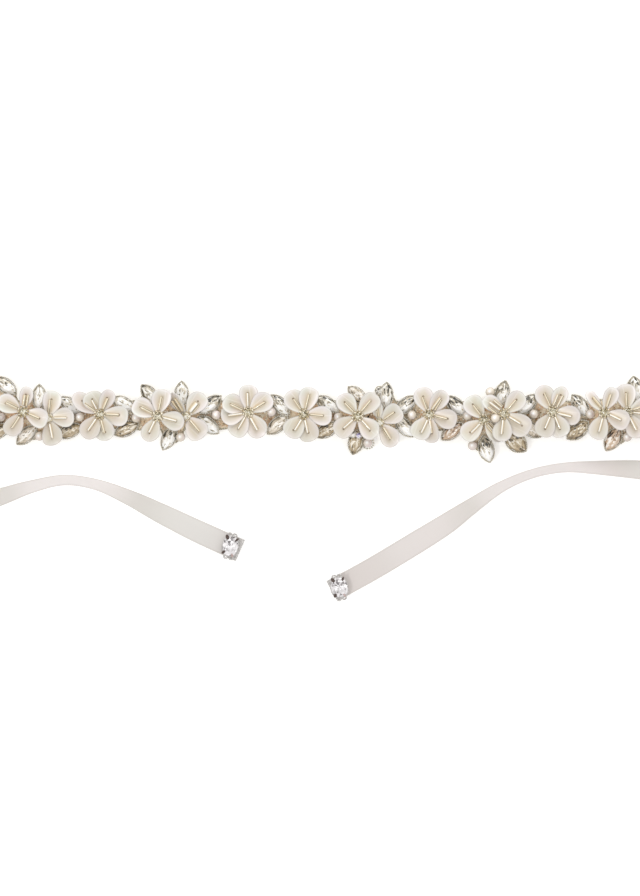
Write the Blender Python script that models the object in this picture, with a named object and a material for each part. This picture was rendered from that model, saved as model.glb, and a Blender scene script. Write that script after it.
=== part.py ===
"""Bridal sash: a narrow satin ribbon with a band of shell flowers, crystals and pearls.

The sash lies flat on z = 0. +X runs along the band and +Y across it. Both ends of the
ribbon turn back on edge in a soft loop and end in a clamp with a crystal. Sizes are in
millimetres in the tables and become metres when a solid is made.
"""
import math

import bmesh
import bpy
import numpy as np

MM = 0.001

# Driving dimensions, in millimetres.
RIBBON_WIDTH = 10.0
RIBBON_WALL = 1.0
GAP = 0.3                 # air between two pieces that touch on the real sash
BAND_Y = 32.05            # the band's centreline, measured from the sash's middle
BAND_START = -168.4
BAND_END = 172.8
RING_STEP = 6.0           # distance between two sections of the ribbon

BACKING_BOTTOM = RIBBON_WALL + GAP
BACKING_WALL = 1.0
BACKING_HALF_WIDTH = 6.6
BACKING_STEP = 4.0

STONE_BOTTOM = BACKING_BOTTOM + BACKING_WALL + GAP
STONE_HEIGHT = 2.6
NAVETTE_LENGTH = 12.5
NAVETTE_WIDTH = 6.25
PEARL_DIAMETER = 4.2
BED_WALL = 0.8
BED_ARM = 2.4

STEM_BOTTOM = STONE_BOTTOM
FLOWER_BASE = 6.0         # height of the middle of a petal at its root
FLOWER_TIER = 2.2         # how much higher the upper flower of a pair sits
PETAL_ROOT = 1.6
PETAL_REACH = 12.2
PETAL_WIDTH = 8.0
PETAL_WALL = 1.1
PETAL_RISE = 1.5
PETAL_CUP = 0.9
PETAL_SHINGLE = 7.0       # each petal leans this far over its neighbour, in degrees
PETAL_ROLL_LIFT = 0.4     # how far a rolled petal is raised, of its lower edge's drop
PETAL_STATIONS = (0.0, 0.2, 0.5, 0.8, 1.0)

CLAMP_LENGTH = 2.8
CLAMP_WALL = 0.6
END_CRYSTAL_LENGTH = 7.4
END_CRYSTAL_WIDTH = 10.4
END_CRYSTAL_HEIGHT = 3.4

COLOURS = {
    "ivory_satin": ((0.80, 0.75, 0.70), 0.45, 0.0),
    "champagne_net": ((0.62, 0.52, 0.38), 0.85, 0.0),
    "pearl_shell": ((0.82, 0.77, 0.71), 0.25, 0.0),
    "crystal": ((0.75, 0.72, 0.66), 0.08, 0.3),
    "silver_metal": ((0.62, 0.60, 0.58), 0.30, 1.0),
}

# Each tie from the band outwards, round its loop and back to the tip.
# lean is the ribbon's tilt about its own length in degrees, positive where the edge on
# the left of its run is raised, and lift is the height of its lower edge.
TIE_COLUMNS = ("x", "y", "lean", "lift")
LEFT_TIE = (
    (-168.8, 0.0, 0, 0.0),
    (-195.0, 0.2, 3, 0.0),
    (-222.0, 1.0, 22, 0.0),
    (-248.0, 1.6, 52, 0.0),
    (-272.0, 0.6, 76, 0.0),
    (-293.0, -3.2, 86, 0.0),
    (-310.0, -13.0, 88, 0.0),
    (-319.0, -29.0, 88, 0.0),
    (-312.5, -46.5, 88, 0.0),
    (-297.0, -57.0, 86, 0.0),
    (-276.0, -60.6, 76, 0.0),
    (-252.0, -60.4, 50, 0.0),
    (-226.0, -57.6, 20, 0.0),
    (-196.0, -52.4, -4, 0.0),
    (-168.0, -45.4, -22, 0.4),
    (-140.0, -35.9, -42, 1.0),
    (-126.0, -31.3, -57, 1.5),
    (-112.0, -28.5, -64, 2.0),
    (-98.0, -30.4, -63, 1.8),
    (-84.0, -35.9, -51, 1.2),
    (-70.0, -42.9, -32, 0.5),
    (-56.0, -49.8, -16, 0.0),
    (-45.0, -54.9, -4, 0.0),
    (-37.4, -58.3, 0, 0.0),
)
RIGHT_TIE = (
    (173.2, 0.0, 0, 0.0),
    (198.0, 0.4, -3, 0.0),
    (224.0, 1.4, -22, 0.0),
    (250.0, 2.0, -52, 0.0),
    (274.0, 0.6, -76, 0.0),
    (295.0, -4.0, -86, 0.0),
    (311.0, -13.6, -88, 0.0),
    (319.28, -28.0, -88, 0.0),
    (313.0, -43.4, -88, 0.0),
    (298.0, -53.0, -86, 0.0),
    (277.0, -56.6, -74, 0.0),
    (252.0, -53.8, -48, 0.0),
    (226.0, -47.4, -22, 0.0),
    (200.0, -38.0, -2, 0.0),
    (176.0, -30.0, 12, 0.3),
    (156.0, -25.8, 25, 0.8),
    (139.6, -24.0, 36, 1.2),
    (121.2, -23.1, 55, 2.0),
    (107.2, -23.0, 66, 2.4),
    (93.2, -25.6, 68, 2.2),
    (79.2, -31.5, 63, 1.6),
    (65.2, -40.7, 46, 0.8),
    (54.7, -48.1, 24, 0.2),
    (40.7, -56.8, 9, 0.0),
    (23.2, -67.3, 3, 0.0),
    (6.2, -76.7, 0, 0.0),
)
# Where each tie is parted into stretches, as fractions of its length from the band.
TIE_STRETCHES = (
    ("run", 0.0, 0.26),
    ("loop", 0.26, 0.55),
    ("tail", 0.55, 1.0),
)

# y is measured from the band's centreline, tier is 1 for the upper flower of a pair, and
# each petal is (direction, roll): degrees from +X, and how far it is turned on its edge.
FLOWER_COLUMNS = ("name", "x", "y", "tier", "petals")
FLOWERS = (
    ("00", -152.2, 0.4, 0, ((130, 0), (70, 0), (-3, 0), (-122, 0), (-70, 0))),
    ("01", -129.8, 1.5, 1, ((156, 0), (82, 20), (-22, 0), (-119, 0))),
    ("02", -118.9, -1.4, 0, ((78, 0), (8, 0), (-78, 0))),
    ("03", -96.3, 0.4, 0, ((145, 0), (124, 0), (70, 20), (-2, 0), (-122, 0), (-72, 0))),
    ("04", -71.0, -0.5, 1, ((154, 0), (77, 0), (-16, 0), (-110, 0))),
    ("05", -58.6, -0.5, 0, ((117, -62), (52, 0), (-55, 0))),
    ("06", -31.5, 1.2, 0, ((155, 0), (190, 0), (92, 0), (34, 0), (-120, 0), (-60, 0))),
    ("07", -7.0, 0.3, 0, ((126, 0), (75, 0), (-3, 0), (-123, 0), (-75, 0))),
    ("08", 16.4, -0.5, 1, ((134, 0), (49, 0), (-136, 0), (-49, 0))),
    ("09", 26.7, -3.5, 0, ((97, -28), (32, 0), (-55, 0))),
    ("10", 47.8, 0.2, 0, ((110, 0), (60, 20), (-12, 0), (-117, 0), (-78, 20))),
    ("11", 71.8, -2.0, 0, ((128, 0), (-137, 0), (-50, -22))),
    ("12", 80.8, -0.1, 1, ((138, 0), (50, 0), (-94, 0), (-38, 0))),
    ("13", 101.7, 1.5, 0, ((118, 0), (62, 0), (-13, 0), (-112, 0), (-66, 0))),
    ("14", 124.1, 1.0, 1, ((132, 30), (73, 20), (-28, 0), (-105, 0))),
    ("15", 134.4, 1.3, 0, ((92, 0), (20, 0), (-4, 0), (-62, 0))),
    ("16", 156.6, 0.4, 0, ((128, 0), (70, 0), (-2, 0), (-122, 0), (-72, 0))),
)

# Each spray of stones is sewn round its own hub. A navette is (x, y, direction) and a
# pearl is (x, y), both with y from the band's centreline.
SPRAY_COLUMNS = ("name", "hub", "navettes", "pearls")
SPRAYS = (
    ("end_left", (-167.1, -0.9), ((-162.8, 4.4, 30), (-162.8, -6.1, -30)), ((-167.1, -0.9),)),
    ("00_01", (-139.6, -0.9), ((-137.4, 12.7, -40), (-140.9, -8.3, 28)), ((-139.6, -0.9),)),
    ("01", (-124.4, 0.0), ((-122.9, 7.6, 90), (-128.4, -8.8, 43)), ((-122.8, -9.2),)),
    ("02_03", (-105.2, -0.9), ((-109.4, 4.2, -37), (-109.6, -7.0, 24)), ((-105.2, -0.9),)),
    ("03_04", (-80.6, -1.3), ((-86.0, 4.8, -28), (-84.7, -6.1, 27)), ((-80.6, -1.3),)),
    ("04", (-66.0, 0.0), ((-74.4, 8.8, -50), (-60.6, 9.0, 90), (-66.1, -10.1, 62)),
     ((-61.0, -9.6),)),
    ("05_06", (-45.4, 0.0), ((-47.9, 4.6, 40), (-49.0, -4.4, -38)), ((-45.4, 0.0),)),
    ("06_07", (-21.3, 1.3), ((-17.5, 4.4, -48), (-18.6, -4.4, 42)), ((-21.3, 1.3),)),
    ("07_08", (8.0, -0.9), ((3.1, 4.8, -32), (3.1, -6.6, 30)), ((8.0, -0.9),)),
    ("08", (21.0, -1.0), ((16.0, 9.2, -42), (28.9, 8.5, 86), (15.1, -12.7, 70)),
     ((20.7, -11.6), (26.1, 10.7))),
    ("09_10", (40.3, 0.0), ((37.6, 4.4, 40), (37.0, -5.2, -48)), ((40.3, 0.0),)),
    ("10_11", (60.0, -1.0), ((59.5, 4.2, -43), (57.8, -7.2, 38)), ((64.5, -0.4),)),
    ("11", (76.6, -1.4), ((79.8, 9.4, 76), (72.8, -14.9, -75), (85.8, -11.8, -42)),
     ((74.2, 9.3), (76.6, -1.4), (66.8, -13.4))),
    ("12_13", (93.6, 0.4), ((90.8, 4.6, 48), (91.0, -7.0, -35)), ((93.6, 0.4),)),
    ("13_14", (113.5, -1.0), ((114.0, 4.2, -52), (112.9, -6.6, 40)), ((118.2, 0.4),)),
    ("14", (130.0, -1.0), ((128.4, -10.5, 58),), ((134.5, -9.6),)),
    ("15_16", (144.5, -1.0), ((138.7, 11.2, 97), (145.2, 4.4, -38), (145.2, -6.6, 32)),
     ((147.0, -0.9),)),
    ("end_right", (172.4, -0.9), ((167.1, 4.4, -30), (167.1, -6.1, 30)), ((172.4, -0.9),)),
)

# A widened place in the backing that carries an outlying stone: its side is +1 or -1.
LOBE_COLUMNS = ("x", "side", "reach", "half_width")
LOBES = (
    (-137.4, 1, 13.0, 5.0),
    (-123.2, 1, 11.0, 4.0),
    (-125.6, -1, 11.0, 6.0),
    (-74.4, 1, 11.0, 5.0),
    (-60.6, 1, 12.0, 4.0),
    (-64.5, -1, 12.5, 5.5),
    (14.9, 1, 11.0, 4.5),
    (29.1, 1, 12.0, 4.0),
    (17.5, -1, 14.5, 6.0),
    (78.5, 1, 12.0, 5.5),
    (70.5, -1, 16.0, 6.0),
    (85.5, -1, 13.0, 5.0),
    (130.5, -1, 13.0, 5.5),
    (140.0, 1, 13.5, 4.0),
)


def rows(columns, table):
    """Each row of a table as a dictionary of its named columns."""
    return [dict(zip(columns, row)) for row in table]


def clear_scene():
    """Starts from an empty scene."""
    for old in list(bpy.data.objects):
        bpy.data.objects.remove(old, do_unlink=True)


def material(name):
    """A Principled material with the colour, roughness and metallic value of its slot."""
    found = bpy.data.materials.get(name)
    if found:
        return found
    colour, roughness, metallic = COLOURS[name]
    made = bpy.data.materials.new(name)
    made.use_nodes = True
    shader = made.node_tree.nodes["Principled BSDF"]
    shader.inputs["Base Color"].default_value = (*colour, 1.0)
    shader.inputs["Roughness"].default_value = roughness
    shader.inputs["Metallic"].default_value = metallic
    return made


def solid(name, points, faces, slot):
    """One closed solid from points in millimetres, its faces turned outwards."""
    mesh = bpy.data.meshes.new(name)
    mesh.from_pydata([tuple(point * MM) for point in np.asarray(points, float)], [], faces)
    made = bmesh.new()
    made.from_mesh(mesh)
    bmesh.ops.recalc_face_normals(made, faces=made.faces)
    made.to_mesh(mesh)
    made.free()
    mesh.materials.append(material(slot))
    result = bpy.data.objects.new(name, mesh)
    bpy.context.scene.collection.objects.link(result)
    return result


def loft_faces(rings, corners):
    """Faces of a skin over rings of equal corners, with a flat cap at each end."""
    faces = [tuple(range(corners)), tuple(range((rings - 1) * corners, rings * corners))]
    for ring in range(rings - 1):
        for corner in range(corners):
            after = (corner + 1) % corners
            low, high = ring * corners, (ring + 1) * corners
            faces.append((low + corner, low + after, high + after, high + corner))
    return faces


def loft(name, rings, slot):
    """A closed solid through an array of rings, each with the same number of corners."""
    rings = np.asarray(rings, float)
    return solid(name, rings.reshape(-1, 3), loft_faces(*rings.shape[:2]), slot)


def fuse(base, pieces):
    """Joins pieces to a base solid, one exact union each, and hides the pieces."""
    for number, piece in enumerate(pieces):
        piece.hide_render = True
        piece.display_type = "WIRE"
        join = base.modifiers.new(f"join_{number}", "BOOLEAN")
        join.operation = "UNION"
        join.solver = "EXACT"
        join.object = piece
    return base


def curve_through(table, parameters):
    """Catmull-Rom curve through the rows of a table, read at parameters from 0 to rows - 1."""
    padded = np.vstack([2 * table[0] - table[1], table, 2 * table[-1] - table[-2]])
    piece = np.clip(parameters.astype(int), 0, len(table) - 2)
    t = (parameters - piece)[:, None]
    before, start, end, after = (padded[piece + step] for step in range(4))
    return 0.5 * (
        2 * start
        + (end - before) * t
        + (2 * before - 5 * start + 4 * end - after) * t**2
        + (3 * start - before - 3 * end + after) * t**3
    )


def tie_path(table):
    """The tie's middle line, lean and lift at even steps along its length."""
    knots = np.array(table, float)
    fine = curve_through(knots, np.linspace(0, len(knots) - 1, 40 * len(knots)))
    length = np.concatenate([[0], np.cumsum(np.linalg.norm(np.diff(fine[:, :2], axis=0), axis=1))])
    return fine, length


def ribbon_rings(fine, length, start, end):
    """Sections of a ribbon between two lengths along it, as four corners each."""
    count = max(2, round((end - start) / RING_STEP) + 1)
    places = np.linspace(start, end, count)
    x, y, lean, lift = (np.interp(places, length, fine[:, column]) for column in range(4))
    run = np.stack([np.gradient(x, places), np.gradient(y, places)], axis=1)
    run /= np.linalg.norm(run, axis=1)[:, None]
    side = np.stack([-run[:, 1], run[:, 0], np.zeros(count)], axis=1)
    upward = np.array([0.0, 0.0, 1.0])
    cosine, sine = np.cos(np.radians(lean))[:, None], np.sin(np.radians(lean))[:, None]
    across = side * cosine + upward * sine
    outward = upward * cosine - side * sine
    half_height = (np.abs(sine) * RIBBON_WIDTH + np.abs(cosine) * RIBBON_WALL) / 2
    height = np.maximum(lift, 0.0) + half_height[:, 0]
    middle = np.stack([x, y + BAND_Y, height], axis=1)
    corners = ((-1, -1), (1, -1), (1, 1), (-1, 1))
    rings = [
        middle + across * (a * RIBBON_WIDTH / 2) + outward * (b * RIBBON_WALL / 2)
        for a, b in corners
    ]
    return np.stack(rings, axis=1)


def make_tie(side, table):
    """A tie's run, loop and tail, parted from each other by a small gap."""
    fine, length = tie_path(table)
    for name, start, end in TIE_STRETCHES:
        low = start * length[-1] + (GAP / 2 if start > 0 else 0)
        high = end * length[-1] - (GAP / 2 if end < 1 else 0)
        loft(f"ribbon_{side}_{name}", ribbon_rings(fine, length, low, high), "ivory_satin")


def box_rings(x_low, x_high, half_width, z_low, z_high):
    """A plain bar along X as two rings of four corners."""
    corners = ((-1, z_low), (1, z_low), (1, z_high), (-1, z_high))
    return [[(x, a * half_width, z) for a, z in corners] for x in (x_low, x_high)]


def make_band_ribbon():
    """The flat stretch of ribbon that carries the flowered band."""
    bar = np.array(box_rings(BAND_START, BAND_END, RIBBON_WIDTH / 2, 0.0, RIBBON_WALL))
    bar[:, :, 1] += BAND_Y
    loft("ribbon_band", bar, "ivory_satin")


def backing_reach(x, side):
    """Half-width of the backing at x on one side, with a rounded lobe at each outlying stone."""
    reach = BACKING_HALF_WIDTH + 0.5 * math.cos(x * math.tau / 25.0)
    for lobe in rows(LOBE_COLUMNS, LOBES):
        away = (x - lobe["x"]) / lobe["half_width"]
        if lobe["side"] == side and abs(away) < 1:
            reach = max(reach, lobe["reach"] * math.sqrt(1 - away * away) ** 0.6)
    return reach


def make_backing():
    """The net strip on the ribbon that every flower and stone is sewn to."""
    places = np.arange(BAND_START + 1.0, BAND_END - 0.9, BACKING_STEP)
    rings = []
    for x in places:
        near, far = BAND_Y - backing_reach(x, -1), BAND_Y + backing_reach(x, 1)
        low, high = BACKING_BOTTOM, BACKING_BOTTOM + BACKING_WALL
        rings.append([(x, near, low), (x, far, low), (x, far, high), (x, near, high)])
    loft("backing", rings, "champagne_net")


def placed(points, x, y, degrees):
    """Points turned about Z and moved to x and y, with y from the band's centreline."""
    cosine, sine = math.cos(math.radians(degrees)), math.sin(math.radians(degrees))
    turned = np.array(points, float)
    turned[..., 0], turned[..., 1] = (
        x + cosine * turned[..., 0] - sine * turned[..., 1],
        BAND_Y + y + sine * turned[..., 0] + cosine * turned[..., 1],
    )
    return turned


def marquise(length, width, sides=5):
    """Outline of a navette: two equal arcs that meet in a point at each end."""
    along = np.cos(np.linspace(0, math.pi, sides + 1)) * length / 2
    bulge = width / 2 * (1 - (2 * along / length) ** 2)
    upper = list(zip(along, bulge))
    lower = [(-a, -b) for a, b in upper]
    return np.array(upper[:-1] + lower[:-1])


def stone_rings(outline, bottom, layers):
    """Rings of one outline, each layer (height, scale) above the bottom."""
    return [
        [(x * scale, y * scale, bottom + height) for x, y in outline]
        for height, scale in layers
    ]


def make_navette(name, x, y, direction):
    """A pointed crystal in its setting: straight sides, a crown and a flat table."""
    layers = ((0.0, 0.94), (1.2, 1.0), (STONE_HEIGHT, 0.52))
    outline = marquise(NAVETTE_LENGTH, NAVETTE_WIDTH)
    rings = stone_rings(outline, STONE_BOTTOM, layers)
    return loft(name, placed(rings, x, y, direction), "crystal")


def make_pearl(name, x, y):
    """A round pearl, as rings of eight corners, resting with a small flat on its bed."""
    radius = PEARL_DIAMETER / 2
    rings = []
    for angle in np.radians((-66, -22, 22, 66)):
        ring_radius, height = radius * math.cos(angle), radius * (1 + math.sin(angle))
        turns = np.linspace(0, math.tau, 8, endpoint=False)
        rings.append([
            (ring_radius * math.cos(turn), ring_radius * math.sin(turn), height)
            for turn in turns
        ])
    ball = placed(rings, x, y, 11)
    ball[..., 2] += STONE_BOTTOM
    return loft(name, ball, "crystal")


def bed_outline(hub, targets):
    """A star round the hub with one blunt arm to each stone, in order of direction."""
    arms = sorted(
        (math.atan2(y - hub[1], x - hub[0]), math.dist(hub, (x, y)))
        for x, y in targets if math.dist(hub, (x, y)) > BED_ARM
    )
    half = BED_ARM / 2
    outline = []
    for number, (angle, reach) in enumerate(arms):
        along = (math.cos(angle), math.sin(angle))
        across = (-along[1], along[0])
        outline += [
            (hub[0] + along[0] * reach + across[0] * s * half,
             hub[1] + along[1] * reach + across[1] * s * half)
            for s in (-1, 1)
        ]
        after = arms[(number + 1) % len(arms)][0] + (math.tau if number + 1 == len(arms) else 0)
        middle, opening = (angle + after) / 2, after - angle
        valley = half / max(0.5, math.sin(min(opening, math.pi) / 2))
        outline.append((hub[0] + valley * math.cos(middle), hub[1] + valley * math.sin(middle)))
    return outline


def make_spray(name, hub, navettes, pearls):
    """A spray of navettes and pearls on its bed, sewn on as one."""
    targets = [(x, y) for x, y, _ in navettes] + list(pearls)
    outline = np.array(bed_outline(hub, targets))
    low, high = STONE_BOTTOM + 0.1, STONE_BOTTOM + BED_WALL
    rings = [[(x, y + BAND_Y, z) for x, y in outline] for z in (low, high)]
    bed = loft(f"stones_{name}", rings, "crystal")
    pieces = [make_navette(f"navette_{name}_{n}", *row) for n, row in enumerate(navettes)]
    pieces += [make_pearl(f"pearl_{name}_{n}", *row) for n, row in enumerate(pearls)]
    fuse(bed, pieces)


def petal_half_width(u):
    """Half-width of a petal at u along it: narrow at the root, full past the middle."""
    return PETAL_WIDTH / 2 * np.sin(math.pi * (0.06 + 0.86 * u**1.1)) ** 0.8


def petal_rings(roll):
    """A cupped petal along +X from its root, as sections of six corners."""
    u = np.array(PETAL_STATIONS)
    along = PETAL_ROOT + (PETAL_REACH - PETAL_ROOT) * u
    half = petal_half_width(u)
    middle = PETAL_RISE * u**1.4
    edge = middle + PETAL_CUP * half / (PETAL_WIDTH / 2)
    wall = PETAL_WALL / 2
    section = (
        (-1, edge, -0.7 * wall), (0, middle, -wall), (1, edge, -0.7 * wall),
        (1, edge, 0.7 * wall), (0, middle, wall), (-1, edge, 0.7 * wall),
    )
    rings = np.stack([
        np.stack([along, side * half, height + depth], axis=1)
        for side, height, depth in section
    ], axis=1)
    cosine, sine = math.cos(math.radians(roll)), math.sin(math.radians(roll))
    across, height = rings[..., 1].copy(), rings[..., 2].copy()
    rings[..., 1] = cosine * across - sine * height
    rings[..., 2] = sine * across + cosine * height + abs(sine) * half[:, None] * PETAL_ROLL_LIFT
    return rings


def make_flower(name, x, y, tier, petals):
    """A flower: a stem with a set stone in the middle, and its petals fused round it."""
    base = FLOWER_BASE + tier * FLOWER_TIER
    profile = (
        (1.7, STEM_BOTTOM), (1.7, base - 0.9), (2.5, base + 0.3), (2.5, base + 1.3), (1.5, base + 2.0),
    )
    turns = np.linspace(0, math.tau, 8, endpoint=False)
    rings = [
        [(radius * math.cos(turn), radius * math.sin(turn), z) for turn in turns]
        for radius, z in profile
    ]
    centre = loft(f"flower_{name}", placed(rings, x, y, 9), "pearl_shell")
    pieces = []
    for number, (direction, roll) in enumerate(petals):
        shape = petal_rings(roll + PETAL_SHINGLE)
        shape[..., 2] += base
        shape = placed(shape, x, y, direction)
        pieces.append(loft(f"petal_{name}_{number}", shape, "pearl_shell"))
    fuse(centre, pieces)


def tip_frame(table):
    """The tip of a tie: its end point and the direction of its run there, in degrees."""
    (x0, y0), (x1, y1) = table[-2][:2], table[-1][:2]
    return x1, y1, math.degrees(math.atan2(y1 - y0, x1 - x0))


def make_tip(side, table, crystal_back):
    """A tie's end: a clamp folded over it and a set crystal, crystal_back from the tip."""
    x, y, direction = tip_frame(table)
    top = RIBBON_WALL + GAP
    inner, outer = GAP, GAP + CLAMP_WALL
    back = outer - CLAMP_LENGTH
    profile = ((outer, 0.0), (outer, top + CLAMP_WALL), (back, top + CLAMP_WALL), (back, top),
               (inner, top), (inner, 0.0))
    half = RIBBON_WIDTH / 2
    rings = [[(along, across, z) for along, z in profile] for across in (-half, half)]
    loft(f"clamp_{side}", placed(rings, x, y, direction), "silver_metal")
    turns = np.radians(np.arange(12) * 30 + 15)
    outline = [
        (END_CRYSTAL_LENGTH / 2 * math.copysign(abs(math.cos(t)) ** 0.6, math.cos(t)),
         END_CRYSTAL_WIDTH / 2 * math.copysign(abs(math.sin(t)) ** 0.6, math.sin(t)))
        for t in turns
    ]
    layers = ((0.0, 0.8), (1.2, 1.0), (1.9, 1.0), (END_CRYSTAL_HEIGHT, 0.6))
    crystal = np.array(stone_rings(outline, top + CLAMP_WALL + GAP, layers))
    crystal[..., 0] -= crystal_back
    loft(f"crystal_{side}", placed(crystal, x, y, direction), "crystal")


def build():
    """Makes every piece of the sash."""
    clear_scene()
    make_band_ribbon()
    make_tie("left", LEFT_TIE)
    make_tie("right", RIGHT_TIE)
    make_backing()
    for spray in rows(SPRAY_COLUMNS, SPRAYS):
        make_spray(**spray)
    for flower in rows(FLOWER_COLUMNS, FLOWERS):
        make_flower(**flower)
    make_tip("left", LEFT_TIE, 3.6)
    make_tip("right", RIGHT_TIE, 2.7)


build()
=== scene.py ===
# %% [markdown]
# # A bridal sash in its finishes
# The real sash is one length of 10 mm ivory satin ribbon. Its middle carries a stiffened
# strip of champagne net, and shell flowers, set crystals and pearls are sewn to the strip.
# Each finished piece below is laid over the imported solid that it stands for.

# %% Load the solids
import math
import bmesh
import bpy
import numpy as np
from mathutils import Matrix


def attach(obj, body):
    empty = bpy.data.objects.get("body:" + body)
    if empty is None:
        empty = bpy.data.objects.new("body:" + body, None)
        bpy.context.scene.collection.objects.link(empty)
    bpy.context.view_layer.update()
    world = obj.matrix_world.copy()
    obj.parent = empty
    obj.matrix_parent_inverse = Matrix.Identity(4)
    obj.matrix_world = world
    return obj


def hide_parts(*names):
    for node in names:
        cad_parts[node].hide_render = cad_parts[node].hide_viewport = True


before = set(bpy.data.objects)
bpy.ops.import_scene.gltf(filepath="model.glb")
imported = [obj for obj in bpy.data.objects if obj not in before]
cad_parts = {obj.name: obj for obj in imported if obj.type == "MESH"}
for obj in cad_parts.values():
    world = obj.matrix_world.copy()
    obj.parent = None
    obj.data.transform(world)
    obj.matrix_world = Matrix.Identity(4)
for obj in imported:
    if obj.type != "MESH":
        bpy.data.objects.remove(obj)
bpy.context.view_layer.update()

MM = 0.001
BAND_Y = 32.05  # the band's centreline, in millimetres from the sash's middle

# %% [markdown]
# ## The eye and the studio
# A flat lay is seen from straight above, so the camera looks down -Z with +Y at the top, from
# far away through a long lens. An even sky and large soft suns give the light of a white
# tent. One is low at the top edge of the table, so faces that lean towards it read lighter.

# %% Camera
EYE_DISTANCE = 2.5  # metres above the middle height of the beads
BEAD_HEIGHT = 0.006
VIEW_HEIGHT = 0.392  # metres of table from the top of the view to the bottom
VIEW_MIDDLE = (0.0, 0.0176)
FILM = 36


def shown(name, data):
    """A new object in the scene that shows this data."""
    made = bpy.data.objects.new(name, data)
    bpy.context.scene.collection.objects.link(made)
    return made


def make_camera():
    """Looks straight down; the lens follows from the film's side over the view's height."""
    lens = bpy.data.cameras.new("eye")
    lens.sensor_width = FILM
    lens.lens = FILM * EYE_DISTANCE / VIEW_HEIGHT
    lens.clip_start, lens.clip_end = 0.1, 20
    eye = shown("eye", lens)
    eye.location = (*VIEW_MIDDLE, EYE_DISTANCE + BEAD_HEIGHT)
    bpy.context.scene.camera = eye
    return eye


print("lens:", round(make_camera().data.lens, 1), "mm")

# %% Light
SKY = 0.80
SUNS = (  # name, degrees round from +Y, degrees up, strength, softness in degrees
    ("window", -12, 31, 1.05, 45),
    ("fill", 170, 60, 0.20, 60),
    ("sparkle", 125, 60, 0.46, 7),
)


def make_light():
    """A sun's direction is its place on a dome: turned round Z from +Y, then raised."""
    world = bpy.data.worlds.new("tent")
    world.use_nodes = True
    sky = world.node_tree.nodes["Background"]
    sky.inputs["Color"].default_value = (1.0, 0.99, 0.98, 1)
    sky.inputs["Strength"].default_value = SKY
    bpy.context.scene.world = world
    for name, around, up, strength, softness in SUNS:
        lamp = bpy.data.lights.new(name, "SUN")
        lamp.energy, lamp.angle = strength, math.radians(softness)
        shown(name, lamp).rotation_euler = (math.radians(up - 90), 0, math.radians(around))
    bpy.context.scene.view_settings.view_transform = "Standard"


make_light()
print("suns:", [s[0] for s in SUNS])

# %% [markdown]
# ## Shader sums and finishes
# A material is a small graph of nodes. Written as Python sums it reads like the recipe it
# is, so one class wraps a node's output and turns +, -, * and abs into Math nodes. A second
# class holds a material and adds any other node.

# %% A wire


class Wire:
    """One output of a node. Sums of wires and numbers add Math nodes."""

    def __init__(self, finish, socket):
        self.finish, self.socket = finish, socket

    def sum(self, operation, first, second=0.0):
        """A Math node over one or two values or wires."""
        return self.finish.node("ShaderNodeMath", {"operation": operation}, {0: first, 1: second})

    def __add__(self, other):
        return self.sum("ADD", self, other)

    def __sub__(self, other):
        return self.sum("SUBTRACT", self, other)

    def __rsub__(self, other):
        return self.sum("SUBTRACT", other, self)

    def __mul__(self, other):
        return self.sum("MULTIPLY", self, other)

    def __abs__(self):
        return self.sum("ABSOLUTE", self)

    def wave(self, kind="SINE"):
        """The sine or cosine of a wire that runs in radians."""
        return self.sum(kind, self)

    __radd__, __rmul__ = __add__, __mul__


print("a wire adds, subtracts and multiplies")

# %% A finish


class Finish:
    """A Principled material with a maker's name. Words given to it are constant sockets."""

    def __init__(self, name, **constants):
        self.material = bpy.data.materials.new(name)
        self.material.use_nodes = True
        self.tree = self.material.node_tree
        self.shader = self.tree.nodes["Principled BSDF"]
        self.feed(**constants)

    def node(self, kind, settings=None, inputs=None, output=0):
        """Adds a node: its settings first, then a value or a wire for each named socket."""
        made = self.tree.nodes.new(kind)
        for setting, value in (settings or {}).items():
            setattr(made, setting, value)
        for socket, value in (inputs or {}).items():
            self.join(value, made.inputs[socket])
        return Wire(self, made.outputs[output])

    def join(self, value, socket):
        """Links a wire to a socket, or sets the socket to a value."""
        if isinstance(value, Wire):
            self.tree.links.new(value.socket, socket)
        else:
            socket.default_value = value

    def feed(self, **sockets):
        """Joins wires or values to the shader's own sockets, such as Base_Color."""
        for socket, value in sockets.items():
            self.join(value, self.shader.inputs[socket.replace("_", " ")])

    def mix(self, share, first, second):
        """A colour between two, by a share from 0 to 1."""
        return self.node("ShaderNodeMix", {"data_type": "RGBA"}, {0: share, 6: first, 7: second}, 2)

    def coats(self, base, *coats):
        """Lays dyes over a base dye or wire, one after another, each by its share."""
        body = base if isinstance(base, Wire) else dye(*base)
        for share, colour in coats:
            body = self.mix(share, body, dye(*colour))
        return body

    def step(self, value, low, high):
        """0 below low and 1 above high, with a smooth rise between."""
        return self.node("ShaderNodeMapRange", {"interpolation_type": "SMOOTHSTEP"},
                         {0: value, 1: low, 2: high, 3: 0.0, 4: 1.0})

    def at(self):
        """The point's own place in the object."""
        return self.node("ShaderNodeTexCoord", output=3)

    def noise(self, scale, detail=2.0):
        """Soft noise from 0 to 1, as fine as scale waves a metre."""
        return self.node("ShaderNodeTexNoise", {}, {"Vector": self.at(), "Scale": scale, "Detail": detail})

    def split(self, vector):
        """The three numbers of a vector, as wires."""
        return [self.node("ShaderNodeSeparateXYZ", {}, {0: vector}, k) for k in range(3)]

    def place(self):
        """The three numbers that a piece's points carry."""
        return self.split(self.node("ShaderNodeAttribute", {"attribute_name": "place"}, output=1))

    def carried(self, name):
        """One number that a piece's points or faces carry."""
        return self.node("ShaderNodeAttribute", {"attribute_name": name}, output=2)

    def bump(self, height, depth, strength=1.0):
        """Feeds Normal with a relief whose height 1 stands depth metres proud."""
        self.feed(Normal=self.node("ShaderNodeBump", {},
                                   {"Strength": strength, "Distance": depth, "Height": height}))


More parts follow.
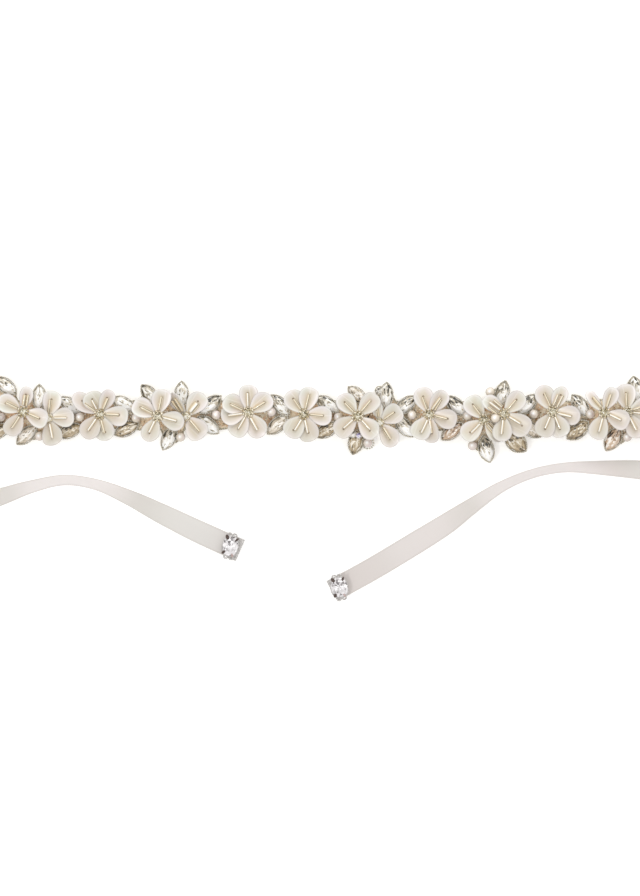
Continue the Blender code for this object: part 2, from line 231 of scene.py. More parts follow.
def dye(red, green, blue):
    """A colour from its 0 to 255 screen values: the sRGB curve undone, as linear light."""
    screen = np.array([red, green, blue]) / 255
    light = np.where(screen < 0.0405, screen / 12.92, ((screen + 0.055) / 1.055) ** 2.4)
    return (*(float(v) for v in light), 1.0)


print("ivory:", [round(v, 3) for v in dye(216, 209, 200)])

# %% [markdown]
# ## From arrays to meshes
# Every shape here is worked out for all its points at once, as an array. A grid of points
# turns into a skin of four-sided faces, and a stack of equal grids turns into many equal
# skins in one mesh. Points that meet are merged, so each skin is closed.

# %% Arrays


def grid(*parts):
    """Numbers and arrays spread to one shape, as one array of points."""
    return np.stack(np.broadcast_arrays(*parts), axis=-1)


def circle(count):
    """Even angles once round."""
    return np.linspace(0, math.tau, count, endpoint=False)


def bent(value, power):
    """A power that keeps the sign. On a sine and cosine it makes a circle squarer or thinner."""
    return np.sign(value) * np.abs(value) ** power


def smooth(value, low, high):
    """0 below low, 1 above high, and an even S between."""
    t = np.clip((value - low) / (high - low), 0, 1)
    return t * t * (3 - 2 * t)


def chance(*numbers):
    """A number from 0 to 1 that looks random but is always the same: a large sine's tail."""
    mixed = sum(np.asarray(n, float) * k for n, k in zip(numbers, (12.9898, 78.233, 37.719, 9.151)))
    return np.mod(np.sin(mixed + 1.7) * 43758.5453, 1.0)


def turned(points, x, y, degrees):
    """Points turned about Z, then moved to x and y, with y from the band's centreline."""
    cosine, sine = np.cos(np.radians(degrees)), np.sin(np.radians(degrees))
    return grid(x + cosine * points[..., 0] - sine * points[..., 1],
                BAND_Y + y + sine * points[..., 0] + cosine * points[..., 1], points[..., 2])


print("a quarter turn:", turned(np.array((1, 0, 0)), 0, 0, 90).round(2))

# %% Skins and pieces


def grid_faces(lines, corners, copies=1):
    """Faces between lines of corners that each close on themselves, for a stack of copies."""
    line, corner = np.arange(lines - 1)[:, None], np.arange(corners)[None, :]
    after = (corner + 1) % corners
    low, high = line * corners, (line + 1) * corners
    faces = np.stack([low + corner, low + after, high + after, high + corner], axis=-1)
    faces = faces.reshape(1, -1, 4) + np.arange(copies)[:, None, None] * lines * corners
    return faces.reshape(-1, 4).tolist()


def skins(rings, ends=()):
    """Points and faces of equal grids, each with a flat face over the lines named in ends."""
    rings = np.asarray(rings, float)
    lines, corners = rings.shape[-3:-1]
    copies = rings.size // (3 * lines * corners)
    faces = grid_faces(lines, corners, copies)
    faces += [[(k * lines + end % lines) * corners + c for c in range(corners)]
              for k in range(copies) for end in ends]
    return rings.reshape(-1, 3), faces


def piece(name, points, faces, finish, place=None, rim=None, tone=None, flat=False, node=(), slot=None):
    """An object at the origin from points in millimetres. place is three numbers a point, rim
    one a point and tone one a face. Points that meet are merged and faces turned outwards."""
    mesh = bpy.data.meshes.new(name)
    mesh.from_pydata((points * MM).tolist(), [], faces)
    for title, values, kind, domain in (("place", place, "FLOAT_VECTOR", "POINT"),
                                        ("rim", rim, "FLOAT", "POINT"), ("tone", tone, "FLOAT", "FACE")):
        if values is not None:
            kept = mesh.attributes.new(title, kind, domain)
            kept.data.foreach_set("vector" if kind == "FLOAT_VECTOR" else "value",
                                  np.asarray(values, np.float32).ravel())
    shape = bmesh.new()
    shape.from_mesh(mesh)
    bmesh.ops.remove_doubles(shape, verts=shape.verts, dist=2e-6)
    bmesh.ops.recalc_face_normals(shape, faces=shape.faces)
    shape.to_mesh(mesh)
    shape.free()
    mesh.materials.append(finish.material)
    mesh.polygons.foreach_set("use_smooth", np.full(len(mesh.polygons), not flat))
    made = shown(name, mesh)
    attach(made, "root")
    if node:
        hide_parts(*node)
    return made


print("faces of a 3 x 4 tube:", len(grid_faces(3, 4)))

# %% [markdown]
# ## Where everything is sewn
# A beader marks the strip before sewing, and these tables are those marks, in millimetres:
# each flower with the directions of its petals, and each spray with its stones.

# %% The flowers
FLOWERS = (  # name, x, y, tier, petal directions
    ("00", -152.2, 0.4, 0, (130, 70, -3, -122, -70)),
    ("01", -129.8, 1.5, 1, (156, 82, -22, -119)),
    ("02", -118.9, -1.4, 0, (78, 8, -78)),
    ("03", -96.3, 0.4, 0, (145, 124, 70, -2, -122, -72)),
    ("04", -71, -0.5, 1, (154, 77, -16, -110)),
    ("05", -58.6, -0.5, 0, (117, 52, -55)),
    ("06", -31.5, 1.2, 0, (155, 190, 92, 34, -120, -60)),
    ("07", -7, 0.3, 0, (126, 75, -3, -123, -75)),
    ("08", 16.4, -0.5, 1, (134, 49, -136, -49)),
    ("09", 26, -3.4, 0, (97, 32, -55)),
    ("10", 47.8, 0.2, 0, (110, 60, -12, -117, -78)),
    ("11", 71.8, -2, 0, (128, -137, -50)),
    ("12", 80.4, 0.4, 1, (138, 50, -94, -38)),
    ("13", 101.7, 1.5, 0, (118, 62, -13, -112, -66)),
    ("14", 124.1, 1, 1, (132, 73, -28, -105)),
    ("15", 134.4, 1.3, 0, (92, 20, -4, -62)),
    ("16", 156.6, 0.4, 0, (128, 70, -2, -122, -72)),
)
# (flower, direction): roll in degrees, length share, width share, degrees turned, lift
PETAL_FIT = {
    ("01", 82): (20, 0.9, 0.78, 3, 0), ("01", -22): (0, 0.94, 1, 0, 0),
    ("01", -119): (0, 1, 0.93, -4, 0), ("02", 78): (0, 1, 0.92, 3, 0), ("02", 8): (0, 0.92, 1, -5, 0),
    ("03", 145): (0, 1.15, 0.85, -1, 0), ("03", 124): (0, 0.88, 1, -6, 0),
    ("03", 70): (20, 0.93, 0.86, 0, 0), ("04", -110): (0, 0.98, 0.9, -4, 0),
    ("05", 117): (-62, 1, 1, 0, 0), ("05", -55): (0, 1, 1.16, 5, 0),
    ("09", 97): (-28, 0.8, 0.62, 2, 0), ("09", 32): (0, 0.94, 1, 3, 0), ("10", 60): (20, 1, 1, 0, 0),
    ("10", -117): (0, 1, 1.03, 0, 0.5), ("10", -78): (20, 1, 0.86, 0, -0.3),
    ("11", -50): (-22, 1, 1, 0, 0), ("12", 138): (0, 0.93, 0.74, 5, 0),
    ("12", -38): (0, 1.12, 1.1, 6, 0), ("13", 62): (0, 0.97, 0.8, 3, 0),
    ("14", 132): (30, 0.95, 0.74, 2, 0), ("14", 73): (20, 0.97, 0.84, 0, 0),
    ("14", -28): (0, 0.95, 1, 4, 0), ("15", 92): (0, 1, 1, 4, 0),
}
UNFITTED = (0, 1, 1, 0, 0)
FLOWER_BASE, FLOWER_TIER = 6.0, 2.2
BASES = {name: FLOWER_BASE + tier * FLOWER_TIER for name, _, _, tier, _ in FLOWERS}
print("petals:", sum(len(f[4]) for f in FLOWERS), "set by hand:", len(PETAL_FIT))

# %% The sprays
SPRAYS = (  # name, hub, navettes (x, y, direction, tint), pearls
    ("end_left", (-167.1, -0.9), ((-162.8, 4.4, 30, 0), (-162.8, -6.1, -30, 1)), ((-167.1, -0.9),)),
    ("00_01", (-139.6, -0.9), ((-137.4, 12.7, -40, 0), (-140.9, -7.2, 28, 1)), ((-139.6, -0.9),)),
    ("01", (-124.4, 0), ((-122.9, 7.6, 90, 0), (-128.4, -8.8, 43, 0.4)), ((-122.8, -9.2),)),
    ("02_03", (-105.2, -0.9), ((-109.4, 4.2, -37, 0), (-109.6, -7, 24, 1)), ((-105.2, -0.9),)),
    ("03_04", (-80.6, -1.3), ((-86, 4.8, -28, 0), (-84.7, -6.1, 27, 1)), ((-80.6, -1.3),)),
    ("04", (-66, 0), ((-74.4, 8.8, -50, 0), (-60.6, 9, 90, 0), (-66.1, -10.1, 62, 0)), ((-61, -9.6),)),
    ("05_06", (-45.4, 0), ((-47.9, 4.6, 40, 0), (-49, -4.4, -38, 0)), ((-45.4, 0),)),
    ("06_07", (-21.3, 1.3), ((-17.5, 4.4, -48, 0), (-18.6, -4.4, 42, 0.3)), ((-21.3, 1.3),)),
    ("07_08", (8, -0.9), ((3.1, 4.8, -32, 0), (3.1, -6.6, 30, 1)), ((8, -0.9),)),
    ("08", (21, -1), ((16.4, 8.8, -42, 0.4), (28.9, 8.5, 86, 0), (15.8, -11.8, 75, 1)),
     ((20.9, -12.2), (26.1, 10.7))),
    ("09_10", (40.3, 0), ((37.6, 4.4, 40, 0), (37, -5.2, -48, 0)), ((40.3, 0),)),
    ("10_11", (60, -1), ((59.5, 4.2, -43, 0), (57.8, -7.2, 38, 1.5)), ((64.5, -0.4),)),
    ("11", (76.6, -1.4), ((79.8, 9.4, 76, 0), (72.8, -14.9, -75, 0), (85.8, -11.8, -42, 1)),
     ((74.5, 10.1), (76.6, -1.4), (66.8, -13.4))),
    ("12_13", (93.6, 0.4), ((90.8, 4.6, 48, 0), (92, -6.2, -35, 0.5)), ((93.6, 0.4),)),
    ("13_14", (113.5, -1), ((114, 4.2, -52, 0), (112.9, -6.6, 40, 1)), ((118.2, 0.4),)),
    ("14", (130, -1), ((128.4, -10.5, 58, 1.5),), ((134.5, -9.6),)),
    ("15_16", (144.5, -1), ((138, 11.2, 97, 0.1), (145.2, 4.4, -38, 0), (145.2, -6.6, 32, 1)),
     ((147, -0.9),)),
    ("end_right", (172.4, -0.9), ((167.1, 4.4, -30, 0), (167.1, -6.1, 30, 1)), ((172.4, -0.9),)),
)
NAVETTES = [navette for _, _, navettes, _ in SPRAYS for navette in navettes]
print("navettes:", len(NAVETTES), "pearls:", sum(len(s[3]) for s in SPRAYS))

# %% [markdown]
# ## The floor
# A wide sheet of white film lit a little from beneath, as on a light table, so that shadows
# stay faint. It is part of the studio and not of the sash.

# %% Floor
paper = Finish("white_paper", Roughness=0.75, Specular_IOR_Level=0.2,
               Emission_Color=(1, 1, 1, 1), Emission_Strength=0.30)
paper.feed(Base_Color=paper.mix(paper.noise(900, 3.0), (0.90, 0.90, 0.89, 1), (0.93, 0.93, 0.92, 1)))
FLOOR_Z, FLOOR_REACH = -0.0002, 4
corners = [(x, y, FLOOR_Z) for x in (-FLOOR_REACH, FLOOR_REACH) for y in (-FLOOR_REACH, FLOOR_REACH)]
mesh = bpy.data.meshes.new("floor")
mesh.from_pydata(corners, [], [(0, 2, 3, 1)])
mesh.materials.append(paper.material)
floor = shown("floor", mesh)
print("floor at", FLOOR_Z)

# %% [markdown]
# ## The satin ribbon
# Double-faced satin is a thin, dense cloth with a firm selvedge down each edge. It could be
# a strip with a cloth simulation, but it rests on the table in known curves, so a flat
# section is carried along a smooth path instead. The lean tips it on edge in the loops and
# the arches. Under the flowers it is lined, so it is thicker there.

# %% The ribbon's route
RIBBON_WIDTH, RIBBON_WALL, LINED_WALL = 10.0, 0.36, 1.22
RIBBON_STEP = 1.5
LEFT_TIE = (  # x, y, lean in degrees, height of the lower edge
    (-168.8, 0, 0, 0), (-195, 0.2, 3, 0), (-222, 1, 22, 0), (-248, 1.6, 52, 0), (-272, 0.6, 76, 0),
    (-293, -3.2, 86, 0), (-310, -13, 88, 0), (-319, -29, 88, 0), (-312.5, -46.5, 88, 0),
    (-297, -57, 86, 0), (-276, -60.6, 76, 0), (-252, -60.4, 50, 0), (-226, -57.6, 20, 0),
    (-196, -52.4, -4, 0), (-168, -45.4, -22, 0.4), (-140, -35.9, -42, 1), (-126, -31.3, -57, 1.5),
    (-112, -28.5, -64, 2), (-98, -30.4, -63, 1.8), (-84, -35.9, -51, 1.2), (-70, -42.9, -32, 0.5),
    (-56, -49.8, -16, 0), (-45, -54.9, -4, 0), (-36, -58.9, 0, 0),
)
RIGHT_TIE = (
    (173.2, 0, 0, 0), (198, 0.4, -3, 0), (224, 1.4, -22, 0), (250, 2, -52, 0), (274, 0.6, -76, 0),
    (295, -4, -86, 0), (311, -13.6, -88, 0), (319.28, -28, -88, 0), (313, -43.4, -88, 0),
    (298, -53, -86, 0), (277, -56.6, -74, 0), (252, -53.8, -48, 0), (226, -47.4, -22, 0),
    (200, -38, -2, 0), (176, -30, 12, 0.3), (156, -25.8, 25, 0.8), (139.6, -24, 36, 1.2),
    (121.2, -23.1, 55, 2), (107.2, -23, 66, 2.4), (93.2, -25.6, 68, 2.2), (79.2, -31.5, 63, 1.6),
    (65.2, -40.7, 46, 0.8), (54.7, -48.1, 24, 0.2), (40.7, -56.8, 9, 0), (23.2, -67.3, 3, 0),
    (6.2, -76.7, 0, 0),
)


def curve_through(table, parameters):
    """Catmull-Rom curve: each stretch is a cubic whose slope at a row joins its neighbours."""
    padded = np.vstack([2 * table[0] - table[1], table, 2 * table[-1] - table[-2]])
    part = np.clip(parameters.astype(int), 0, len(table) - 2)
    t = (parameters - part)[:, None]
    before, start, end, after = (padded[part + step] for step in range(4))
    return 0.5 * (2 * start + (end - before) * t + (2 * before - 5 * start + 4 * end - after) * t**2
                  + (3 * start - before - 3 * end + after) * t**3)


def far_along(line):
    """How far along a line each of its points is: the lengths of its stretches, added up."""
    return np.concatenate([[0], np.cumsum(np.linalg.norm(np.diff(line[:, :2], axis=0), axis=1))])


def read_at(line, places):
    """The points of a line at these distances along it."""
    return np.stack([np.interp(places, far_along(line), column) for column in line.T], axis=1)


def ribbon_path():
    """The whole ribbon from tip to tip, at even steps: x, y, lean, lift and the length so far."""
    left = np.array(LEFT_TIE)[::-1] * (1, 1, -1, 1)
    band = np.array([(x, 0, 0, 0) for x in (-140.0, -100, -60, -20, 20, 60, 100, 140)])
    knots = np.vstack([left, band, np.array(RIGHT_TIE)])
    fine = curve_through(knots, np.linspace(0, len(knots) - 1, 60 * len(knots)))
    length = far_along(fine)[-1]
    places = np.linspace(0, length, round(length / RIBBON_STEP) + 1)
    return read_at(fine, places), places


path, ribbon_places = ribbon_path()

# %% The ribbon's shell
SELVEDGE = 0.9  # where the firm edge starts, as a share of the half-width


def ribbon_shell(path, places):
    """A flat section, thicker at its selvedges, carried along the path. Across is the side
    vector tipped by the lean, and up is square to it; slow sines make the cloth ripple."""
    x, y, lean, lift = path.T
    run = np.stack([np.gradient(x), np.gradient(y)], axis=1)
    run /= np.linalg.norm(run, axis=1)[:, None]
    side, upward = grid(-run[:, 1], run[:, 0], 0.0), np.array([0.0, 0.0, 1.0])
    cosine, sine = np.cos(np.radians(lean))[:, None], np.sin(np.radians(lean))[:, None]
    across, outward = side * cosine + upward * sine, upward * cosine - side * sine
    lined = (smooth(x, -171, -166) * smooth(-x, -175, -170) * (np.abs(y) < 2))[:, None]
    wall = RIBBON_WALL + (LINED_WALL - RIBBON_WALL) * lined
    height = np.maximum(lift, 0) + (np.abs(sine) * RIBBON_WIDTH + np.abs(cosine) * wall)[:, 0] / 2
    turn, far = circle(32), places[:, None]
    v = bent(np.cos(turn), 0.55)
    face = np.sign(np.sin(turn)) * np.minimum(1, np.abs(np.sin(turn)) * 3) ** 0.5
    firm = 1 + 0.25 * smooth(np.abs(v), SELVEDGE - 0.05, SELVEDGE)
    ripple = 0.06 * np.sin(far / 9 + 2 * v) * np.sin(far / 31 + 1) * (1 - lined)
    rise = np.maximum(wall / 2 * face * firm + ripple * (1 - v**2), -wall / 2)
    points = grid(x, y + BAND_Y, height)[:, None] + across[:, None] * (v * RIBBON_WIDTH / 2)[None, :, None]
    points = points + outward[:, None] * rise[..., None]
    points[..., 2] = np.maximum(points[..., 2], 0)
    # The third number a point carries is its share of painted sheen: more where the ribbon is tipped on
    # edge.
    return points, grid(far, v * 5, smooth(np.abs(sine), 0.70, 0.93))


shell, shell_place = ribbon_shell(path, ribbon_places)
print("shell:", shell.shape)

# %% [markdown]
# Satin is coloured nearly evenly. What shows is the fine rib of its warp, a soft sheen, a
# row of tiny dots where the weft turns in the selvedge, and slow waves of painted light and
# shade along its length. A painted sheen makes it paler where it is tipped on edge.

# %% The ribbon's finish
# Painted light and shade: slow waves of lighter and darker satin along the ribbon.
PAINTED_WAVE_LENGTH, PAINTED_WAVE_START = 70.0, 16.0  # millimetres between the slow waves, and where they start
satin = Finish("ivory_satin", Specular_IOR_Level=0.45, Sheen_Weight=0.5, Sheen_Roughness=0.35)
along, across, lean_sheen = satin.place()
drift, cast = satin.noise(26), satin.noise(14, 1.0)
warp, turns = (across * 31.0).wave(), (along * 7.0).wave()
edge = satin.step(abs(across), 4.45, 4.6)
groove = satin.step(abs(across), 4.2, 4.35) * (1 - edge)
# the painted waves of light and shade
painted_light_wave = ((along - PAINTED_WAVE_START) * (math.tau / PAINTED_WAVE_LENGTH)).wave("COSINE")
body = satin.coats(
    (204, 200, 195),
    (satin.step(painted_light_wave + 0.8 * (drift - 0.5), -1.0, 1.0), (214, 209, 206)),
    (satin.step(cast, 0.5, 0.66) * 0.4, (214, 203, 201)),
    ((1 - satin.step(cast, 0.36, 0.48)) * 0.4, (206, 207, 201)),
    # painted sheen where the ribbon is tipped on edge
    (lean_sheen * 0.8, (227, 221, 220)),
    (groove * 0.5, (197, 192, 186)),
    (edge * (0.35 + 0.35 * turns), (200, 195, 189)),
)
satin.feed(Base_Color=body, Roughness=0.42 + 0.08 * drift + 0.06 * edge)
satin.bump(warp * 0.5 + edge * turns * 1.5 + satin.noise(4000) * 0.6, 0.00002, 0.5)

RIBBON_NODES = ["ribbon_band"] + [f"ribbon_{side}_{part}" for side in ("left", "right")
                                  for part in ("run", "loop", "tail")]
ribbon = piece("satin_ribbon", *skins(shell, (0, -1)), satin, place=shell_place, node=RIBBON_NODES,
               slot="ivory_satin")
print("ribbon faces:", len(ribbon.data.polygons))

# %% [markdown]
# ## The backing
# The beading is sewn to a strip of champagne net over felt. Its edge swells into a rounded
# lobe under each stone that stands out from the band, and is whipped with a darker thread.
# The strip is a flat section from edge to edge, carried along X.

# %% The backing's shape
BACKING_HALF_WIDTH, BACKING_BOTTOM, BACKING_TOP = 6.6, 1.3, 2.3
BACKING_ENDS, BACKING_STEP = (-167.4, 171.9), 0.8
LOBES = (  # x, side, reach, half-width
    (-137.4, 1, 13, 5), (-123.2, 1, 11, 4), (-125.6, -1, 11, 6), (-74.4, 1, 11, 5), (-60.6, 1, 12, 4),
    (-64.5, -1, 12.5, 5.5), (14.9, 1, 11, 4.5), (29.1, 1, 12, 4), (17.5, -1, 14.5, 6),
    (78.5, 1, 12, 5.5), (70.5, -1, 16, 6), (85.5, -1, 13, 5), (130.5, -1, 13, 5.5), (140, 1, 13.5, 4),
)


def backing_reach(x, side):
    """Half-width on one side: a slow cosine, or a lobe's rounded arch where that is more."""
    reach = BACKING_HALF_WIDTH + 0.5 * np.cos(x * math.tau / 25)
    for middle, lobe_side, far, half in LOBES:
        if lobe_side == side:
            away = np.clip(np.abs(x - middle) / half, 0, 1)
            reach = np.maximum(reach, far * np.sqrt(1 - away**2) ** 0.6)
    return reach


def backing_shell():
    """Rings across the strip: a superellipse section between the near and the far edge."""
    x = np.arange(*BACKING_ENDS, BACKING_STEP)
    near, far = -backing_reach(x, -1), backing_reach(x, 1)
    v, z = bent(np.cos(circle(36)), 0.7), bent(np.sin(circle(36)), 0.35)
    y = (near + far)[:, None] / 2 + (far - near)[:, None] / 2 * v
    middle, half = (BACKING_BOTTOM + BACKING_TOP) / 2, (BACKING_TOP - BACKING_BOTTOM) / 2
    swell = 0.05 * np.sin(x[:, None] * 1.9) * np.sin(y * 2.3)
    slope = np.where(v > 0, np.gradient(far, x)[:, None], np.gradient(near, x)[:, None])
    inward = (far - near)[:, None] / 2 * (1 - np.abs(v)) / np.hypot(1, slope)
    points = grid(x[:, None], BAND_Y + y, middle + half * z + swell * (z > 0.5))
    return points, smooth(-inward, -1.0, -0.7), np.sum((far - near)[:-1] * np.diff(x))


strip, strip_cord, strip_area = backing_shell()
print("strip:", strip.shape)

# %% The backing's finish
NET_HOLE, STITCH = 0.62, 1.1  # millimetres from one thread or stitch to the next
net = Finish("champagne_net", Sheen_Weight=0.3)
fleck, cord = net.noise(700, 3.0), net.carried("rim")
net_x, net_y, _ = net.split(net.at())
slant, counter = ((way * (math.pi / (NET_HOLE * MM))).wave() for way in (net_x + net_y, net_x - net_y))
thread = 1 - net.step(abs(slant), 0.15, 0.5) * net.step(abs(counter), 0.15, 0.5)
stitches = ((net_x + 0.6 * net_y) * (math.tau / (STITCH * MM))).wave()
body = net.coats(
    (250, 231, 199),
    (net.step(net.noise(120), 0.4, 0.65), (253, 240, 215)),
    (net.step(net.noise(170), 0.47, 0.62) * 0.75, (238, 188, 142)),
    (net.step(fleck, 0.45, 0.62) * 0.6, (228, 196, 152)),
    (thread * 0.8, (253, 246, 230)),
)
whipping = net.coats((168, 158, 132), (net.step(stitches, -0.4, 0.5), (218, 212, 194)))
net.feed(Base_Color=net.mix(cord, body, whipping), Roughness=0.85 - 0.35 * thread)
net.bump(thread + fleck * 0.5 + cord * stitches, 0.00012, 0.8)
backing = piece("net_backing", *skins(strip, (0, -1)), net, rim=strip_cord, node=["backing"],
                slot="champagne_net")

# %% [markdown]
# ## The shell petals
# Each petal is cut from mother-of-pearl: a thin spoon, broad past its middle, cupped up at
# its edges, and drilled where its tube bead ends. A petal could be sculpted, but all of
# them share one formula, so each is a closed section carried from root to tip, and all the
# petals of a flower are worked out in one array.

# %% Petal shape
PETAL_ROOT, PETAL_REACH, PETAL_WIDTH = 1.6, 12.3, 8.9
PETAL_FULL = 0.60  # where a petal is widest, as a share of its length
PETAL_WALL, PETAL_RISE, PETAL_CUP = 1.1, 1.5, 0.9
PETAL_SHINGLE, PETAL_ROLL_LIFT = 7.0, 0.4


def petal_half(u, tip=2.2):
    """Half-width at u along: a sine that swells from the root, then an ellipse to the tip. A
    larger tip number gives a squarer end."""
    swell = 0.32 + 0.68 * np.sin(math.pi / 2 * np.clip(u / PETAL_FULL, 0, 1)) ** 1.05
    close = np.clip((u - PETAL_FULL) / (1 - PETAL_FULL), 0, 1)
    return PETAL_WIDTH / 2 * swell * np.sqrt(np.clip(1 - close**tip, 0, 1))


def petal_middle(u):
    """Height of the petal's midrib above its root."""
    return PETAL_RISE * u**1.4


def rolled(points, half, roll):
    """Turns a petal about its own length, and raises it so that its low edge keeps clear."""
    cosine, sine = np.cos(np.radians(roll))[:, None, None], np.sin(np.radians(roll))[:, None, None]
    along, across, height = np.moveaxis(points, -1, 0)
    return grid(along, cosine * across - sine * height,
                sine * across + cosine * height + np.abs(sine) * half * PETAL_ROLL_LIFT)


def petal_shells(x, y, base, petals):
    """All petals of a flower: sections of a rounded plate, bowed up by the square of v."""
    direction, roll, long, broad, turn_by, lift = np.array(petals, float).T[..., None]
    u = 1 - (1 - np.linspace(0, 1, 22)) ** 1.7
    v, face = bent(np.cos(circle(28)), 0.85), bent(np.sin(circle(28)), 0.5)
    key = chance(np.arange(len(petals))[:, None], x + 3 * y)
    longer = (1 + 0.05 * (key - 0.5)) * long
    half = petal_half(u, 1.7 + 1.3 * chance(key, 9)) * (1 + 0.10 * (chance(key, 4) - 0.5)) * broad
    half, along = half[..., None], (PETAL_ROOT + (PETAL_REACH * longer - PETAL_ROOT) * u)[..., None]
    side = half * v + ((chance(key, 7) - 0.5) * np.sin(math.pi * u))[..., None]
    bow = PETAL_CUP * half / (PETAL_WIDTH / 2) * (v**2 + 0.35 * v**8)
    bow = bow - 0.30 * smooth(u, 0.7, 1.0)[:, None] ** 2
    wall = PETAL_WALL / 2 * (1 - 0.3 * v**2) * np.minimum(1, half / 1.2)
    twist = 0.18 * np.sin(3.0 * u[:, None] + math.tau * key[..., None]) * v
    shape = grid(along, side, petal_middle(u)[:, None] + bow + wall * face + twist)
    shape = rolled(shape, half, roll[:, 0] + PETAL_SHINGLE)
    shape[..., 2] += base + lift[..., None]
    inside = np.minimum((1 - np.abs(v)) * half, PETAL_REACH * longer[..., None] - along)
    place = grid(along / long[..., None], side, key[..., None])
    return turned(shape, x, y, (direction + turn_by)[..., None]), place, inside


print("petal half-width at its middle:", round(float(petal_half(np.array(0.55))), 2), "mm")

# %% [markdown]
# Mother-of-pearl is layered, so its colour shifts between cream, rose and green, with faint
# growth lines across it and a painted fold along it: a light line with painted shade on one
# side. The rim is thin and lets light through, so it is painted palest, with a painted
# highlight line inside it and a painted shadow line on its very edge, and the root is painted
# warm and darker where the petal lies in its neighbours' shade. Each petal also carries a
# tone of painted shade: petals that point down the band are darker, and chance moves each.
# The drilled hole is painted dark, as the shade inside it.

# %% Petal finish
HOLE_AT = 8.3  # millimetres from the flower's middle to the drilled hole
nacre = Finish("pearl_shell", Specular_IOR_Level=0.5, Coat_Roughness=0.28)
along, across, key = nacre.place()
rim_at, cloud, drift = nacre.carried("rim"), nacre.noise(260), nacre.noise(90, 1.0)
# A painted fold along each petal: a light line, with painted shade on one side of it.
painted_fold = across - (key - 0.5) * 5.6 - (along - 6.0) * 0.15
growth = (along * 5.2 + across * across * 0.35 + cloud * 5.0).wave()
# Painted light for the thin rim, where light comes through.
rim_light = nacre.coats((237, 231, 236), (nacre.step(drift, 0.4, 0.62), (232, 235, 229)))
# The drilled hole is painted dark: painted shade inside it.
off = along - HOLE_AT
hole = 1 - nacre.step(off * off + across * across, 0.10, 0.30)
body = nacre.coats(
    (212, 202, 181),
    (key, (218, 208, 190)),
    (nacre.step(cloud + (key - 0.5) * 0.3, 0.52, 0.7) * 0.5, (224, 210, 204)),
    (nacre.step(drift + (0.5 - key) * 0.3, 0.52, 0.68) * 0.55, (209, 211, 194)),
    # painted shade at the root, where neighbours shade it
    ((1 - nacre.step(along, 2.0, 8.5)) * 0.8, (223, 200, 156)),
    (nacre.step(painted_fold, 0.0, 0.25) * 0.25, (202, 195, 186)),
    ((1 - nacre.step(abs(painted_fold), 0.08, 0.32)) * 0.4, (244, 239, 234)),
    (nacre.step(growth, 0.3, 1.0) * 0.06, (196, 186, 170)),
)
# Painted light at the rim: paler where the thin rim lets light through, a painted highlight line inside the
# edge and a painted shadow line on the edge itself.
body = nacre.coats(
    nacre.mix((1 - nacre.step(rim_at, 0.6, 3.4)) * 0.6, body, rim_light),
    ((1 - nacre.step(rim_at, 0.9, 1.25)) * 0.3, (247, 245, 244)),
    # painted shade for each petal, from its tone
    (nacre.carried("tone") * 0.45, (197, 187, 173)),
    ((1 - nacre.step(rim_at, 0.0, 0.45)) * 0.6, (186, 184, 182)),
    (hole * 0.8, (120, 98, 66)),
)
nacre.feed(Base_Color=body, Roughness=0.28 + 0.12 * cloud, Coat_Weight=0.25 + 0.3 * drift)
nacre.bump(growth * 0.06 + cloud - hole * 2.0, 0.00008, 0.6)
print("nodes in the shell's finish:", len(nacre.tree.nodes))

# %% The petals
for name, x, y, _, petals in FLOWERS:
    fitted = [(aim, *PETAL_FIT.get((name, aim), UNFITTED)) for aim in petals]
    shapes, place, rim = petal_shells(x, y, BASES[name], fitted)
    aim = np.array(petals, float)
    # Painted shade for each petal: darker where it points down the band, and chance moves each.
    darker = np.clip(0.5 - 0.5 * np.sin(np.radians(aim)) + 0.9 * (chance(aim, x, y) - 0.5), 0, 1.3)
    sides = (shapes.shape[1] - 1) * shapes.shape[2]
    tone = np.concatenate([np.repeat(darker, sides), darker])
    piece(f"petals_{name}", *skins(shapes, (0,)), nacre, place=place, rim=rim, tone=tone,
          node=[f"flower_{name}"], slot="pearl_shell")
print("petals of", len(FLOWERS), "flowers, each petal", math.prod(shapes.shape[1:3]), "points")

# %% [markdown]
# ## Tube beads
# A short glass tube runs from each flower's middle to the hole in the petal. A tube is a
# small profile turned round its own length. Here it lies in the petal's own coordinates, so
# it leans and turns with its petal. Some petals carry two or three tubes side by side.

# %% The tubes
TUBE_RADIUS, TUBE_START, TUBE_END = 0.66, 2.5, 7.9
PRESSED_RADIUS, PRESSED_END = 1.2, 7.4  # a tube that is wider than this is pressed to half its height
TUBE_SIDE = {("12", 138): (-1.75, 0.0, 1.75), ("11", -50): (-0.9, 0.9), ("01", 82): (-0.85, 0.85),
             ("13", 62): (-0.85, 0.85), ("10", 60): (-0.85, 0.85), ("05", 117): (-0.9, 0.9)}
TUBE_WIDE = {("05", 52): 2.0}
TUBE_PROFILE = (  # length share, radius share
    (0.05, 0.0), (0.0, 0.45), (0.0, 0.85), (0.02, 1.0), (0.5, 1.0), (0.98, 1.0), (1.0, 0.85), (1.0, 0.45),
    (0.95, 0.0),
)


def tube_rows():
    """One row for each tube: flower x, y, base, direction, roll, sideways place, radius, length."""
    rows = []
    for name, x, y, _, petals in FLOWERS:
        for aim in petals:
            roll, long, _, turn_by, lift = PETAL_FIT.get((name, aim), UNFITTED)
            radius = TUBE_RADIUS * TUBE_WIDE.get((name, aim), 1)
            rows += [(x, y, BASES[name] + lift, aim + turn_by, roll + PETAL_SHINGLE, side, radius, long)
                     for side in TUBE_SIDE.get((name, aim), (0.0,))]
    return np.array(rows)


